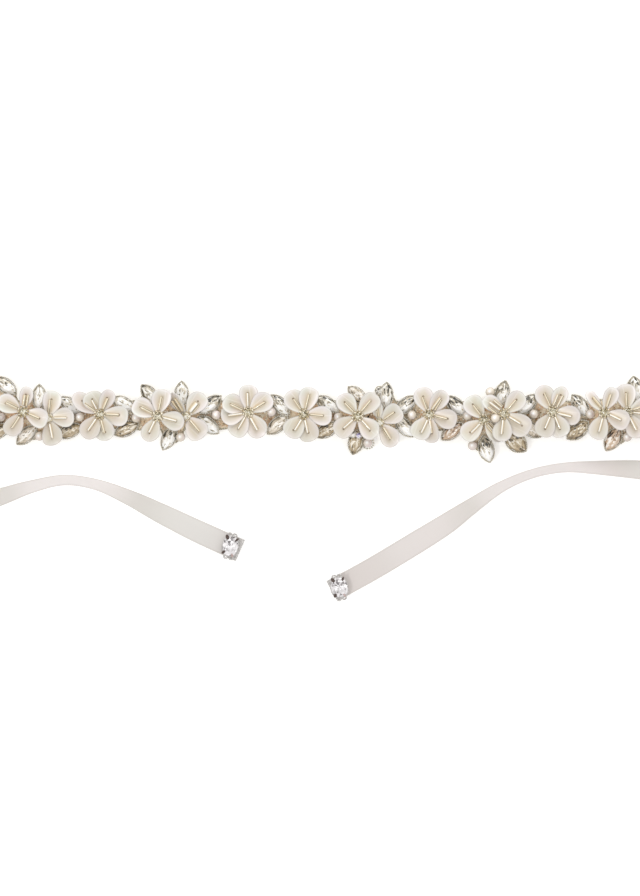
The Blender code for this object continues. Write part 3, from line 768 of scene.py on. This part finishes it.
def tube_shells(rows):
    """A profile of radius against length, turned round the tube's own line."""
    x, y, base, direction, roll, side, radius, long = rows.T[..., None, None]
    share, wide = np.array(TUBE_PROFILE).T[..., None]
    key = chance(direction, x, side)
    side = side + np.where(side == 0, 0.6, 0.0) * (chance(key, 5) - 0.5)
    direction = direction + 5 * (chance(key, 6) - 0.5)
    radius = radius * (0.85 + 0.25 * chance(key, 8))
    # Whether a tube gets a painted highlight: more often when it points down the band, less beside other
    # tubes.
    lit = (key < 0.55 - 0.3 * np.sin(np.radians(direction))) * np.where(abs(side) < 0.5, 0.8, 0.25)
    pressed = radius > PRESSED_RADIUS
    start, end = TUBE_START + 0.2 * key, (TUBE_END + 1.1 * chance(key, 3)) * np.minimum(long, 1)
    along = start + (np.where(pressed, PRESSED_END, end) - start) * share
    u = np.clip((along - PETAL_ROOT) / (PETAL_REACH - PETAL_ROOT), 0, 1)
    tall, turn = np.where(pressed, 0.5, 1.0), circle(10)
    low = petal_middle(u) + PETAL_WALL / 2 + radius * 0.94 * tall
    points = grid(along, side + radius * wide * np.cos(turn), low + tall * radius * wide * np.sin(turn))
    points = rolled(points, petal_half(u), roll[:, 0, 0])
    points[..., 2] += base
    return turned(points, x, y, direction), grid(share, np.cos(turn), lit)


tubes, tube_place = tube_shells(tube_rows())
print("tube beads:", len(tubes))

# %% The tubes' glass
glass = Finish("tube_glass", Coat_Weight=0.6, Coat_Roughness=0.05)
share, side, lit = glass.place()
# Painted light on the glass: a white highlight along the core of lit tubes, and a dark line of painted shade
# beside it.
highlight = 1 - glass.step(abs(side - 0.08), 0.22, 0.45)
line = 1 - glass.step(abs(side + 0.42 - 0.2 * (1 - lit)), 0.12, 0.30)
body = glass.coats(
    (233, 223, 200),
    (glass.step(abs(side), 0.55, 0.85) * 0.6, (213, 188, 146)),
    (highlight * lit, (255, 253, 249)),
    (line * (1.0 - 0.3 * lit), (108, 90, 54)),
    (glass.step(abs(share - 0.5), 0.47, 0.5) * 0.6, (176, 152, 106)),
)
glass.feed(Base_Color=body, Roughness=0.06 + 0.1 * glass.noise(2500))
glass.bump(glass.noise(1800), 0.00005, 0.4)

tubes = piece("tube_beads", *skins(tubes), glass, place=tube_place, slot="crystal")
print("tube bead faces:", len(tubes.data.polygons))

# %% [markdown]
# ## Cut stones
# A cut stone is flat facets between rings of corners: a girdle, a crown that narrows to the
# table, and the back's pattern seen through the table. Real glass sparkles because each
# facet sends back another part of the room. Here that is painted: the stones are foil-backed,
# and each facet carries its own tone of painted reflection, the same from any side. The ones
# that face the top edge are dark, the lower ones are bright, and chance sets some the other way.

# %% Facets
MARQUISE_SIDES, OVAL_SIDES, CUSHION_SIDES = 12, 8, 16
CROWN = (  # height share, size share, turn in steps
    (0.00, 0.90, 0.0), (0.10, 1.00, 0.0), (0.42, 1.00, 0.0), (0.74, 0.80, 0.5), (1.00, 0.56, 0.0),
    (1.00, 0.27, 0.5),
)


def marquise(turn, length, width):
    """A navette's outline: two arcs, each a parabola's bulge over the length."""
    along = bent(np.cos(turn), 0.9) * length / 2
    return along, np.sign(np.sin(turn)) * width / 2 * (1 - np.abs(2 * along / length) ** 2.3) ** 0.9


def oval(turn, length, width, power=1.0):
    """A superellipse's outline: a circle's cosine and sine, each to a power."""
    return bent(np.cos(turn), power) * length / 2, bent(np.sin(turn), power) * width / 2


def gem_faces(n):
    """Faces of a cut stone of n sides: walls in fours, crown, table and its star in threes."""
    k = np.arange(n)
    after, before = (k + 1) % n, (k - 1) % n
    faces = grid_faces(3, n)
    for line, shifted in ((2, True), (3, False), (4, True)):
        low, high = line * n, (line + 1) * n
        if shifted:
            faces += grid(low + k, low + after, high + k).tolist()
            faces += grid(high + k, high + before, low + k).tolist()
        else:
            faces += grid(low + k, low + after, high + after).tolist()
            faces += grid(high + k, low + k, high + after).tolist()
    return faces + grid(5 * n + k, 5 * n + after, 6 * n).tolist() + [k[::-1].tolist()]


def read_along(x, y, degrees):
    """The reverse of a turn: how far x and y lie along and across a direction."""
    cosine, sine = math.cos(math.radians(degrees)), math.sin(math.radians(degrees))
    return cosine * x + sine * y, cosine * y - sine * x


def gem(outline, sizes, sides, bottom, height, x, y, degrees, light=1.05, shade=0.62, low=0.03,
        speckle=0.8, streak=0.0, window=0.4):
    """Points, faces and facet tones of one cut stone; the tones are painted reflection. A tone
    starts at light and loses shade towards the top edge and low towards the bottom one. Speckle
    is how far chance moves it, streak is a painted bright reflection on the facets just above the
    middle, and window a painted dark reflection in a patch near the top."""
    rings = [grid(*(scale * c for c in outline((np.arange(sides) + shift) * math.tau / sides, *sizes)),
                  bottom + height * up) for up, scale, shift in CROWN]
    points = turned(np.vstack(rings + [[(0, 0, bottom + height)]]), x, y, degrees)
    faces = gem_faces(sides)
    middle = np.array([points[f].mean(0) for f in faces]) - points[-1]
    away = (middle[:, 1] - 0.25 * middle[:, 0]) / np.abs(points[:, 1] - points[-1, 1]).max()
    along, across = read_along(middle[:, 0], middle[:, 1], degrees)
    along, across = along / sizes[0] * 2, across / sizes[1] * 2
    order = np.arange(len(faces))
    # Painted reflection: darker towards the top edge, brighter towards the bottom one.
    tone = light - shade * smooth(away, -0.35, 0.40) - low * smooth(-away, 0.45 - 0.4 * low, 1.0)
    tone = tone + 0.16 * np.sin(9 * across + math.tau * chance(x, y))
    tone = tone + streak * np.exp(-((away - 0.1) / 0.13) ** 2)
    tone = tone - window * np.exp(-((away - 0.55) / 0.22) ** 2 - ((along - 0.1) / 0.35) ** 2)
    tone = tone + speckle * (chance(order, x, y) - 0.5) * (0.4 + 0.6 * smooth(away, -0.4, 0.2))
    tone = np.where(chance(order, y, x) > 0.9, tone - 0.5 * np.sign(tone - 0.5), tone)
    return points, faces, np.clip(tone, 0, 1)


print("facets of a navette:", len(gem_faces(MARQUISE_SIDES)))

# %% Crystal finish
CRYSTALS = {  # the colours of the facets, from the dark ones to the bright ones
    "clear_crystal": ((44, 44, 38), (126, 119, 102), (202, 192, 172), (247, 244, 235), (255, 255, 254)),
    "champagne_crystal": ((36, 36, 30), (100, 89, 70), (168, 149, 118), (196, 178, 146), (252, 246, 232)),
    "blush_crystal": ((66, 58, 50), (136, 124, 106), (192, 180, 158), (222, 211, 194), (255, 252, 246)),
    "olive_crystal": ((70, 62, 34), (134, 120, 82), (178, 168, 136), (212, 206, 184), (252, 249, 238)),
    "rosy_crystal": ((62, 48, 38), (130, 106, 84), (187, 159, 132), (216, 193, 168), (255, 250, 242)),
    "violet_crystal": ((86, 78, 130), (140, 130, 190), (184, 176, 216), (214, 208, 236), (250, 248, 255)),
    "seed_glass": ((156, 136, 92), (236, 188, 152), (250, 226, 188), (255, 247, 230), (255, 255, 252)),
    "ice_crystal": ((84, 78, 80), (150, 146, 147), (206, 203, 204), (238, 235, 237), (255, 254, 255)),
}


def crystal(name):
    """Foil-backed glass: a facet's tone picks a colour, from the dark facets to the bright. On
    cut stones the tones are painted reflection.
    """
    made = Finish(name, Specular_IOR_Level=0.8, Coat_Weight=0.5, Coat_Roughness=0.02)
    spark = made.noise(1500)
    ramp = made.node("ShaderNodeValToRGB", {}, {0: made.carried("tone") + 0.25 * (spark - 0.5)})
    stops = ramp.socket.node.color_ramp.elements
    colours = CRYSTALS[name]
    while len(stops) < len(colours):
        stops.new(1.0)
    for number, colour in enumerate(colours):
        stops[number].position, stops[number].color = number / (len(colours) - 1), dye(*colour)
    made.feed(Base_Color=ramp, Roughness=0.04 + 0.08 * spark)
    return made


clear = crystal("clear_crystal")
WIDE_STONES = {
    (85.8, -11.8): (11.4, 7.4), (15.8, -11.8): (10.8, 6), (72.8, -14.9): (11.6, 6.1),
    (16.4, 8.8): (10.2, 4.9), (138, 11.2): (11, 6.6), (112.9, -6.6): (11.4, 6.4),
    (128.4, -10.5): (11.4, 6.1),
}
TINTS = (  # tint below, name, finish, how its facets are lit
    (0.2, "clear", clear, {}),
    (0.6, "blush", crystal("blush_crystal"),
     dict(light=0.84, shade=0.10, low=0.44, speckle=0.6, streak=0.2, window=0.1)),
    (1.1, "champagne", crystal("champagne_crystal"),
     dict(light=0.76, shade=0.13, low=0.44, speckle=0.6, streak=0.3, window=0.45)),
    (2.0, "rosy", crystal("rosy_crystal"),
     dict(light=0.84, shade=0.28, low=0.2, speckle=0.9, streak=0.3, window=0.4)),
)
# stones that catch the light differently from their neighbours
STONE_LOOK = {
    (59.5, 4.2): dict(shade=0.85, window=1.3), (72.8, -14.9): dict(shade=0.8, window=0.7, low=0.25),
    (-109.4, 4.2): dict(shade=0.3), (-86, 4.8): dict(shade=0.3, window=0),
    (-122.9, 7.6): dict(shade=0.35, window=0), (-60.6, 9): dict(shade=0.35, window=0),
    (-17.5, 4.4): dict(window=1), (90.8, 4.6): dict(window=0.8), (-47.9, 4.6): dict(window=0.6),
    (57.8, -7.2): dict(light=0.74, low=0.3), (128.4, -10.5): dict(light=0.86),
    (112.9, -6.6): dict(light=0.7, window=0.2), (-49, -4.4): dict(shade=0.3),
    (-109.6, -7): dict(window=0.9),
}
STONE_BOTTOM, STONE_HEIGHT = 2.6, 2.6
NAVETTE = (11.1, 5.4)  # the glass alone, without its setting


def stone_size(x, y):
    """Length and width of the navette that is set here."""
    return np.array(WIDE_STONES.get((x, y), NAVETTE))


def joined(*parts):
    """Several lots of points and faces as one, with the later faces renumbered."""
    starts = np.cumsum([0] + [len(p[0]) for p in parts[:-1]]).tolist()
    return (np.vstack([p[0] for p in parts]),
            [[c + start for c in face] for start, part in zip(starts, parts) for face in part[1]])


print("tints:", [row[1] for row in TINTS], "stones of their own size:", len(WIDE_STONES))

# %% The navettes
for name, _, navettes, _ in SPRAYS:
    tints = sorted({tint for *_, tint in navettes})
    for tint in tints:
        word, finish, lit = next(row[1:] for row in TINTS if tint < row[0])
        stones = [gem(marquise, stone_size(x, y), MARQUISE_SIDES, STONE_BOTTOM, STONE_HEIGHT, x, y,
                      degrees, **{**lit, **STONE_LOOK.get((x, y), {})})
                  for x, y, degrees, own in navettes if own == tint]
        label = f"navettes_{name}_{word}" if len(tints) > 1 else f"navettes_{name}"
        piece(label, *joined(*stones), finish, tone=np.concatenate([s[2] for s in stones]), flat=True,
              node=[f"stones_{name}"], slot="crystal")
print("navettes set in", len(SPRAYS), "sprays")

# %% [markdown]
# ## Settings
# A navette sits in a dark metal wall whose upper edge is a row of bright grains, and claws
# hold a round stone. Grains, claws and pearls are all balls, pressed more or less flat, so
# one function makes any number of them at once. Grains have few faces, as there are many.

# %% Balls, walls and metal
COARSE, SMALL, ROUND, FINE = (4, 6), (6, 8), (9, 12), (15, 22)  # lines and corners of a ball


def balls(middles, radii, lines, corners):
    """Spheres as arrays: latitude and longitude, stretched by one radius or by three."""
    up, around = np.linspace(-math.pi / 2, math.pi / 2, lines)[:, None], circle(corners)
    unit = grid(np.cos(up) * np.cos(around), np.cos(up) * np.sin(around), np.sin(up))
    return np.asarray(middles, float)[:, None, None] + unit * np.asarray(radii)


def wall_round(outline, sizes, profile, sides, x, y, degrees):
    """A closed ring: a small profile of (size share, z), carried round the outline."""
    along, across = outline(np.linspace(0, math.tau, sides + 1)[:, None], *sizes)
    share, z = np.array(profile).T
    return turned(grid(along * share, across * share, z), x, y, degrees)


def metal(name, metallic, scale, dark, light, spread, rough, depth, strength):
    """Worn metal: noise picks between a dark and a light dye, and roughens the surface."""
    made = Finish(name, Metallic=metallic)
    worn = made.noise(scale, 3.0)
    made.feed(Base_Color=made.coats(dark, (made.step(worn, 0.5 - spread, 0.5 + spread), light)),
              Roughness=rough[0] + rough[1] * worn)
    made.bump(worn, depth, strength)
    return made


print("faces of a ball:", len(skins(balls([(0, 0, 0)], 1, *COARSE))[1]))

# %% The settings
silver = Finish("silver_metal", Metallic=0.65)
grain = silver.noise(1400, 3.0)
worn = silver.step(silver.noise(300), 0.42, 0.66)
body = silver.coats((206, 202, 191), (worn * 0.6, (188, 176, 152)),
                    (silver.step(grain, 0.42, 0.62) * 0.7, (250, 247, 240)))
silver.feed(Base_Color=body, Roughness=0.22 + 0.25 * grain)
silver.bump(grain, 0.00006, 0.5)
dull = metal("aged_metal", 0.6, 1800, (140, 133, 118), (204, 197, 181), 0.10, (0.35, 0.20), 0.00005, 0.4)

GRAINS, GRAIN_RADIUS, WALL_TOP = 36, 0.40, 3.95
SETTING = 0.78  # how much longer and wider than its stone the line of grains is
WALL = ((0.90, 2.4), (1.03, 2.4), (1.05, WALL_TOP - 0.3), (1.0, WALL_TOP - 0.1), (0.90, WALL_TOP - 0.2))
settings, grains = [], []
for x, y, degrees, _ in NAVETTES:
    size = stone_size(x, y) + SETTING
    settings.append(wall_round(marquise, size, WALL, 32, x, y, degrees))
    line = grid(*marquise(np.linspace(0, math.tau, 721), *size), WALL_TOP)
    spots = read_at(line, np.linspace(0, far_along(line)[-1], GRAINS, endpoint=False))
    grains.append(turned(spots, x, y, degrees))
piece("navette_walls", *skins(settings), dull, slot="silver_metal")
points, faces = skins(balls(np.concatenate(grains), GRAIN_RADIUS, *COARSE))
piece("navette_grains", points, faces, silver, slot="silver_metal")
print("grains:", GRAINS * len(NAVETTES), "faces:", len(faces))

# %% [markdown]
# ## Pearls
# Glass pearls have a soft, deep lustre: a clear coat over a milky body whose colour drifts
# between cream and rose. Each point carries its own direction from its pearl's middle: low
# down the body gets painted shade, where a pearl sits on the strip, and beside the top it
# gets a painted highlight with a soft glow.

# %% Pearls
PEARL_RADIUS = 2.1
SET_STONE = (26.1, 10.7)  # the one place in a pearl's bed that holds a small set crystal
HALOED = (20.9, -12.2)  # the pearl that sits in a ring of grains
RAISED = {(76.6, -1.4): 4.4}  # the pearl on a stem between two flowers, and how much higher
spots = np.array([(x, BAND_Y + y, STONE_BOTTOM + PEARL_RADIUS - 0.1 + RAISED.get((x, y), 0))
                  for *_, pearls in SPRAYS for x, y in pearls if (x, y) != SET_STONE])
lustre = Finish("glass_pearl", Coat_Weight=0.9, Coat_Roughness=0.07)
east, north, up = lustre.place()
# Painted highlight: a white glint with a soft glow round it beside the top; painted shade darkens the lower
# half.
from_glint = (east + 0.2) * (east + 0.2) + (north - 0.12) * (north - 0.12)
body = lustre.coats(
    (220, 209, 192),
    (lustre.step(lustre.noise(220), 0.4, 0.62), (217, 204, 199)),
    ((1 - lustre.step(from_glint, 0.02, 0.5)) * 0.6, (246, 240, 234)),
    (1 - lustre.step(from_glint, 0.01, 0.10), (255, 255, 255)),
    ((1 - lustre.step(up, 0.05, 0.7)) * 0.85, (136, 124, 102)),
)
lustre.feed(Base_Color=body, Roughness=0.34 + 0.08 * lustre.noise(900))
lustre.bump(lustre.noise(700), 0.00005, 0.3)
points, faces = skins(balls(spots, PEARL_RADIUS, *FINE))
facing = (points.reshape(len(spots), -1, 3) - spots[:, None]) / PEARL_RADIUS
piece("pearls", points, faces, lustre, place=facing, slot="crystal")
print("pearls:", len(spots))

# %% Small set stones and the halo
SMALL_STONES = (  # x, y, width, bottom, finish
    (*SET_STONE, 3.6, 2.7, clear),
    (16.9, -9.0, 2.4, 5.0, crystal("violet_crystal")),
    (14.4, -8.3, 2.8, 4.9, clear),
)
SMALL_CUP = ((0.9, -0.2), (1.18, -0.2), (1.22, 0.6), (1.1, 0.9), (1.0, 0.7))
SMALL_HEIGHT = 1.5
HALO_RADIUS, HALO_HEIGHT, HALO_GRAIN = 2.65, 3.5, 0.5


def ring(x, y, radius, turn, z):
    """Places on a circle about x and y."""
    return grid(x + radius * np.cos(turn), BAND_Y + y + radius * np.sin(turn), z)


cups = []
for number, (x, y, wide, low, finish) in enumerate(SMALL_STONES):
    points, faces, tone = gem(oval, (wide, wide), OVAL_SIDES, low, SMALL_HEIGHT, x, y, 20)
    piece(f"small_stone_{number}", points, faces, finish, tone=tone, flat=True, slot="crystal")
    cups.append(wall_round(oval, (wide, wide), [(r, low + z) for r, z in SMALL_CUP], 16, x, y, 0))
halo = balls(ring(*HALOED, HALO_RADIUS, circle(15), HALO_HEIGHT), HALO_GRAIN, *SMALL)
piece("small_settings", *joined(skins(cups), skins(halo)), silver, slot="silver_metal")
print("small stones:", len(SMALL_STONES))

# %% [markdown]
# ## Flower centres
# A round stone in a small cup with claws covers the place where the petals and tubes meet,
# and a stem of wound thread holds the flower above the strip.

# %% Centres
gilt = metal("pale_gilt", 0.75, 900, (192, 174, 136), (252, 246, 230), 0.12, (0.20, 0.25), 0.00005, 0.4)
CENTRE, CENTRE_LIFT, CENTRE_HEIGHT = (3.5, 3.5), 0.25, 1.75
PLAIN_CENTRES = ("02", "05", "09")  # the lower flowers of the pairs have no ring of grains
CUP = ((0.95, 0.1), (1.16, 0.15), (1.20, 0.6), (1.12, 0.9), (1.02, 0.85))
CLAW_AT, CLAW_LIFT, CLAW_RADII = 1.7, 1.3, (0.42, 0.42, 0.5)
RING_AT, RING_LIFT, RING_GRAIN = 2.2, 1.0, 0.52
STEM_FOOT, STEM_RADIUS, STEM_TURN, STEM_TURNS = 2.32, 1.45, 0.22, 4.2
stones, cups, claws, rings = [], [], [], []
for number, (name, x, y, _, _) in enumerate(FLOWERS):
    base, spin = BASES[name], 360 * float(chance(number, 2))
    plain = name in PLAIN_CENTRES
    look = dict(light=0.95, speckle=0.5) if plain else dict(light=0.64, speckle=1.2)
    stones.append(gem(oval, CENTRE, OVAL_SIDES, base + CENTRE_LIFT, CENTRE_HEIGHT, x, y, spin,
                      shade=0.12, low=0.1, **look))
    cups.append(wall_round(oval, CENTRE, [(r, base + z) for r, z in CUP], 20, x, y, spin))
    claws.append(ring(x, y, CLAW_AT, math.radians(spin) + circle(6), base + CLAW_LIFT))
    if not plain:
        turn = math.radians(spin) + circle(10) + math.tau / 20
        rings.append(ring(x, y, RING_AT, turn, base + RING_LIFT))
tops = [(x, y, BASES[name]) for name, x, y, _, _ in FLOWERS]
tops += [(*spot, STONE_BOTTOM + 0.4 + rise) for spot, rise in RAISED.items()]
stems = []
for x, y, top in tops:
    high = np.linspace(STEM_FOOT, top - 0.1, 14)[:, None]
    wound = STEM_TURN * np.abs(np.sin(high * STEM_TURNS))
    thick = STEM_RADIUS + wound + 0.9 * np.exp(-(high - STEM_FOOT) * 3)
    stems.append(ring(x, y, thick, circle(14), high))
piece("centre_stones", *joined(*stones), crystal("olive_crystal"),
      tone=np.concatenate([s[2] for s in stones]), flat=True, slot="crystal")
claws = skins(balls(np.concatenate(claws), CLAW_RADII, *SMALL))
piece("centre_cups", *joined(skins(cups), claws), gilt, slot="silver_metal")
rings = skins(balls(np.concatenate(rings), RING_GRAIN, *SMALL))
piece("centre_grains", *rings, gilt, slot="silver_metal")
piece("flower_stems", *skins(stems, (0, -1)), net, slot="champagne_net")
print("centres:", len(FLOWERS))

# %% [markdown]
# ## The arms of the sprays
# Under each spray, short padded arms run from its hub to its stones, so the group is sewn
# on as one.

# %% Arms
ARM_SHORTEST = 2.4  # a stone or pearl nearer to the hub than this has no arm
ARM_MIDDLE = 2.86  # height of an arm's middle line
ARM_PROFILE = ((0.0, 0.0), (0.0, 1.1), (0.5, 0.9), (1.0, 1.1), (1.0, 0.0))  # length share, half-width
arm_rows = np.array([(*hub, *end[:2]) for _, hub, navettes, pearls in SPRAYS
                     for end in (*navettes, *pearls) if math.dist(hub, end[:2]) > ARM_SHORTEST])
hub_x, hub_y, end_x, end_y = arm_rows.T[..., None, None]
share, wide = np.array(ARM_PROFILE).T[..., None]
turn = circle(10)
shape = grid(np.hypot(end_x - hub_x, end_y - hub_y) * share, wide * np.cos(turn),
             ARM_MIDDLE + 0.5 * (wide > 0) * np.sin(turn))
arms = turned(shape, hub_x, hub_y, np.degrees(np.arctan2(end_y - hub_y, end_x - hub_x)))
piece("spray_arms", *skins(arms), net, slot="champagne_net")
print("arms:", len(arms))

# %% [markdown]
# ## Seed beads
# The net that shows between the pieces is sewn over with tiny beads in gold, terracotta and
# olive. They start as a loose lattice over the strip. What lies too far from a spray, or
# under a stone, a pearl or a stem, is dropped by one mask for the whole lattice.

# %% The seed beads
SEED_PITCH, SEED_RADIUS, SEED_REACH, SEED_SHARE = 1.15, 0.42, 7.5, 0.72
EDGE_GAP, FLOWER_GAP, PEARL_GAP, STONE_GAP = 1.2, 2.6, 1.9, 0.9
ARM_TOP, ARM_HALF, ARM_OVER = 1.05, 1.15, 0.4
across, seed_x = np.mgrid[-8:8.01:SEED_PITCH * 0.87, -170:172:SEED_PITCH]
offset = 0.5 * (np.round(across / SEED_PITCH / 0.87) % 2) + 0.4 * chance(seed_x, across)
seed_x = seed_x + SEED_PITCH * offset
seed_y = across + 0.4 * SEED_PITCH * chance(across, seed_x)


def gap_to(spots):
    """Distance from each seed to the nearest of some places."""
    return np.min([np.hypot(seed_x - x, seed_y - y) for x, y in spots], axis=0)


kept = (seed_y < backing_reach(seed_x, 1) - EDGE_GAP) & (seed_y > EDGE_GAP - backing_reach(seed_x, -1))
kept &= gap_to([s[1] for s in SPRAYS]) < SEED_REACH
kept &= gap_to([f[1:3] for f in FLOWERS]) > FLOWER_GAP
kept &= gap_to([pearl for s in SPRAYS for pearl in s[3]]) > PEARL_GAP
kept &= chance(seed_y, seed_x) < SEED_SHARE
for x, y, degrees, _ in NAVETTES:
    length, width = stone_size(x, y) / 2 + STONE_GAP
    along, aside = read_along(seed_x - x, seed_y - y, degrees)
    kept &= (along / length) ** 2 + (aside / width) ** 2 > 1
lift = np.zeros(seed_x.shape)
for x, y, end_x, end_y in arm_rows:
    heading = math.degrees(math.atan2(end_y - y, end_x - x))
    along, aside = read_along(seed_x - x, seed_y - y, heading)
    over = (along > -ARM_OVER) & (along < math.hypot(end_x - x, end_y - y) + ARM_OVER)
    lift = np.maximum(lift, np.sqrt(np.clip(1 - (aside / ARM_HALF) ** 2, 0, 1)) * over)
seeds = grid(seed_x, BAND_Y + seed_y, BACKING_TOP + 0.7 * SEED_RADIUS + ARM_TOP * lift)[kept]
points, faces = skins(balls(seeds, SEED_RADIUS, *COARSE))
tone = np.repeat(chance(seeds[:, 0], seeds[:, 1]), len(faces) // len(seeds))
piece("seed_beads", points, faces, crystal("seed_glass"), tone=tone, slot="crystal")
print("seed beads:", len(seeds), "faces:", len(faces))

# %% [markdown]
# ## The tie ends
# Each end of the ribbon is hemmed and closed by a folded clamp of soft metal, and a large
# cushion-cut crystal in a claw setting is riveted on just behind it.

# %% Clamps and end crystals
TIPS = (  # side, table, stone behind the tip, its turn and its size
    ("left", LEFT_TIE, 3.6, 14, (6.9, 8.9)),
    ("right", RIGHT_TIE, 2.5, -15, (7.4, 9.0)),
)
CLAWS = (  # place on the stone, then its three radii: outwards, across and up
    ((-1.9, 3.7, 4.85), (1.25, 0.75, 0.6)), ((2.4, 3.2, 4.85), (1.05, 0.5, 0.55)),
    ((-2.5, -3.0, 4.85), (1.05, 0.6, 0.55)), ((1.5, -3.9, 4.8), (0.9, 0.45, 0.5)),
)
EYE_SPOTS = np.array([(1.2, 4.75, 3.5), (-1.1, 4.85, 3.5), (1.1, -4.85, 3.5), (-1.2, -4.75, 3.5)])
EYE_RADIUS, EYE_WIRE = 0.85, 0.36
CLAMP_LINE = np.array([
    (-1.95, 0.55), (-1.95, 1.75), (-1.75, 1.9), (0.85, 1.9), (1.1, 1.75), (1.15, 1.5), (1.15, 0.15),
    (1.0, 0.0), (0.45, 0.0), (0.35, 0.15), (0.35, 1.1), (0.2, 1.3), (-1.5, 1.3), (-1.6, 0.55),
])
CLAMP_WIDTHS = np.array([(-5.05, 0.90), (-4.95, 1.0), (4.95, 1.0), (5.05, 0.90)])  # place, size share
COLLAR = ((0.80, 2.2), (0.98, 2.2), (1.07, 3.0), (1.06, 3.9), (1.0, 4.05), (0.95, 3.7))
POST = ((0.0, 1.02), (1.0, 1.02), (1.0, 2.3), (0.0, 2.3))
POST_WIDTH, POST_BACK = 3.2, 0.7
END_BOTTOM, END_HEIGHT = 2.5, 3.1


def cushion(turn, length, width):
    """A cushion-cut outline, a little squarer than an oval."""
    return oval(turn, length, width, 0.82)


def eyes(spots, wide, thick):
    """Wire eyes, through which the setting is sewn: a small circle carried round a larger one."""
    around, turn = np.linspace(0, math.tau, 13)[:, None], circle(8)
    reach = wide + thick * np.cos(turn)
    wire = grid(reach * np.cos(around), reach * np.sin(around), thick * np.sin(turn))
    return spots[:, None, None] + wire


ice = crystal("ice_crystal")
# The claws are painted dark, as painted shade and dark reflection round the stone; their tone paints the
# last claw paler.
shaded_claws = Finish("claws_painted_dark", Metallic=0.5)
worn = shaded_claws.noise(1800, 3.0)
body = shaded_claws.coats((52, 40, 36), (worn, (104, 88, 82)), (shaded_claws.carried("tone"), (186, 166, 162)))
shaded_claws.feed(Base_Color=body, Roughness=0.3 + 0.2 * worn)
shaded_claws.bump(worn, 0.00005, 0.4)
steel = metal("brushed_metal", 0.5, 2200, (172, 169, 166), (216, 213, 211), 0.15, (0.36, 0.20), 0.00003, 0.5)
print("finishes:", ice.material.name, shaded_claws.material.name, steel.material.name)

# %% Both tips
for side, table, back, askew, sizes in TIPS:
    before, tip = np.array(table)[-2:, :2]
    heading = math.degrees(math.atan2(*(tip - before)[::-1]))
    run = np.array([math.cos(math.radians(heading)), math.sin(math.radians(heading))])
    middle, (places, shares) = CLAMP_LINE.mean(0), CLAMP_WIDTHS.T
    section = middle + (CLAMP_LINE - middle) * shares[:, None, None]
    bar = turned(grid(section[..., 0], places[:, None], section[..., 1]), *tip, heading)
    piece(f"clamp_{side}_folded", *skins(bar, (0, -1)), steel, flat=True, node=[f"clamp_{side}"],
          slot="silver_metal")
    stone, set_at = tip - back * run, heading + askew
    points, faces, tone = gem(cushion, sizes, CUSHION_SIDES, END_BOTTOM, END_HEIGHT, *stone, set_at,
                              light=0.64, shade=0.08, low=0.0, speckle=0.9)
    piece(f"end_stone_{side}", points, faces, ice, tone=tone, flat=True, node=[f"crystal_{side}"],
          slot="crystal")
    collar = wall_round(cushion, sizes, COLLAR, 40, *stone, set_at)
    post = wall_round(oval, (POST_WIDTH, POST_WIDTH), POST, 16, *(stone - POST_BACK * run), heading)
    wires = eyes(turned(EYE_SPOTS, *stone, set_at), EYE_RADIUS, EYE_WIRE)
    piece(f"end_setting_{side}", *joined(skins(collar), skins(post), skins(wires)), steel,
          slot="silver_metal")
    claws, claws_at = [], set_at if side == "left" else set_at + 180
    for spot, radii in CLAWS:
        x, y, z = turned(np.array(spot), *stone, claws_at)
        outwards = claws_at + math.degrees(math.atan2(spot[1], spot[0]))
        claws.append(turned(balls([(0, 0, z)], radii, *ROUND), x, y - BAND_Y, outwards))
    points, faces = skins(claws)
    # painted shade on all claws but the last
    piece(f"end_claws_{side}", points, faces, shaded_claws, tone=np.repeat((0, 0, 0, 1), len(faces) // 4),
          slot="silver_metal")
    print(side, "tip heads", round(heading, 1), "degrees")
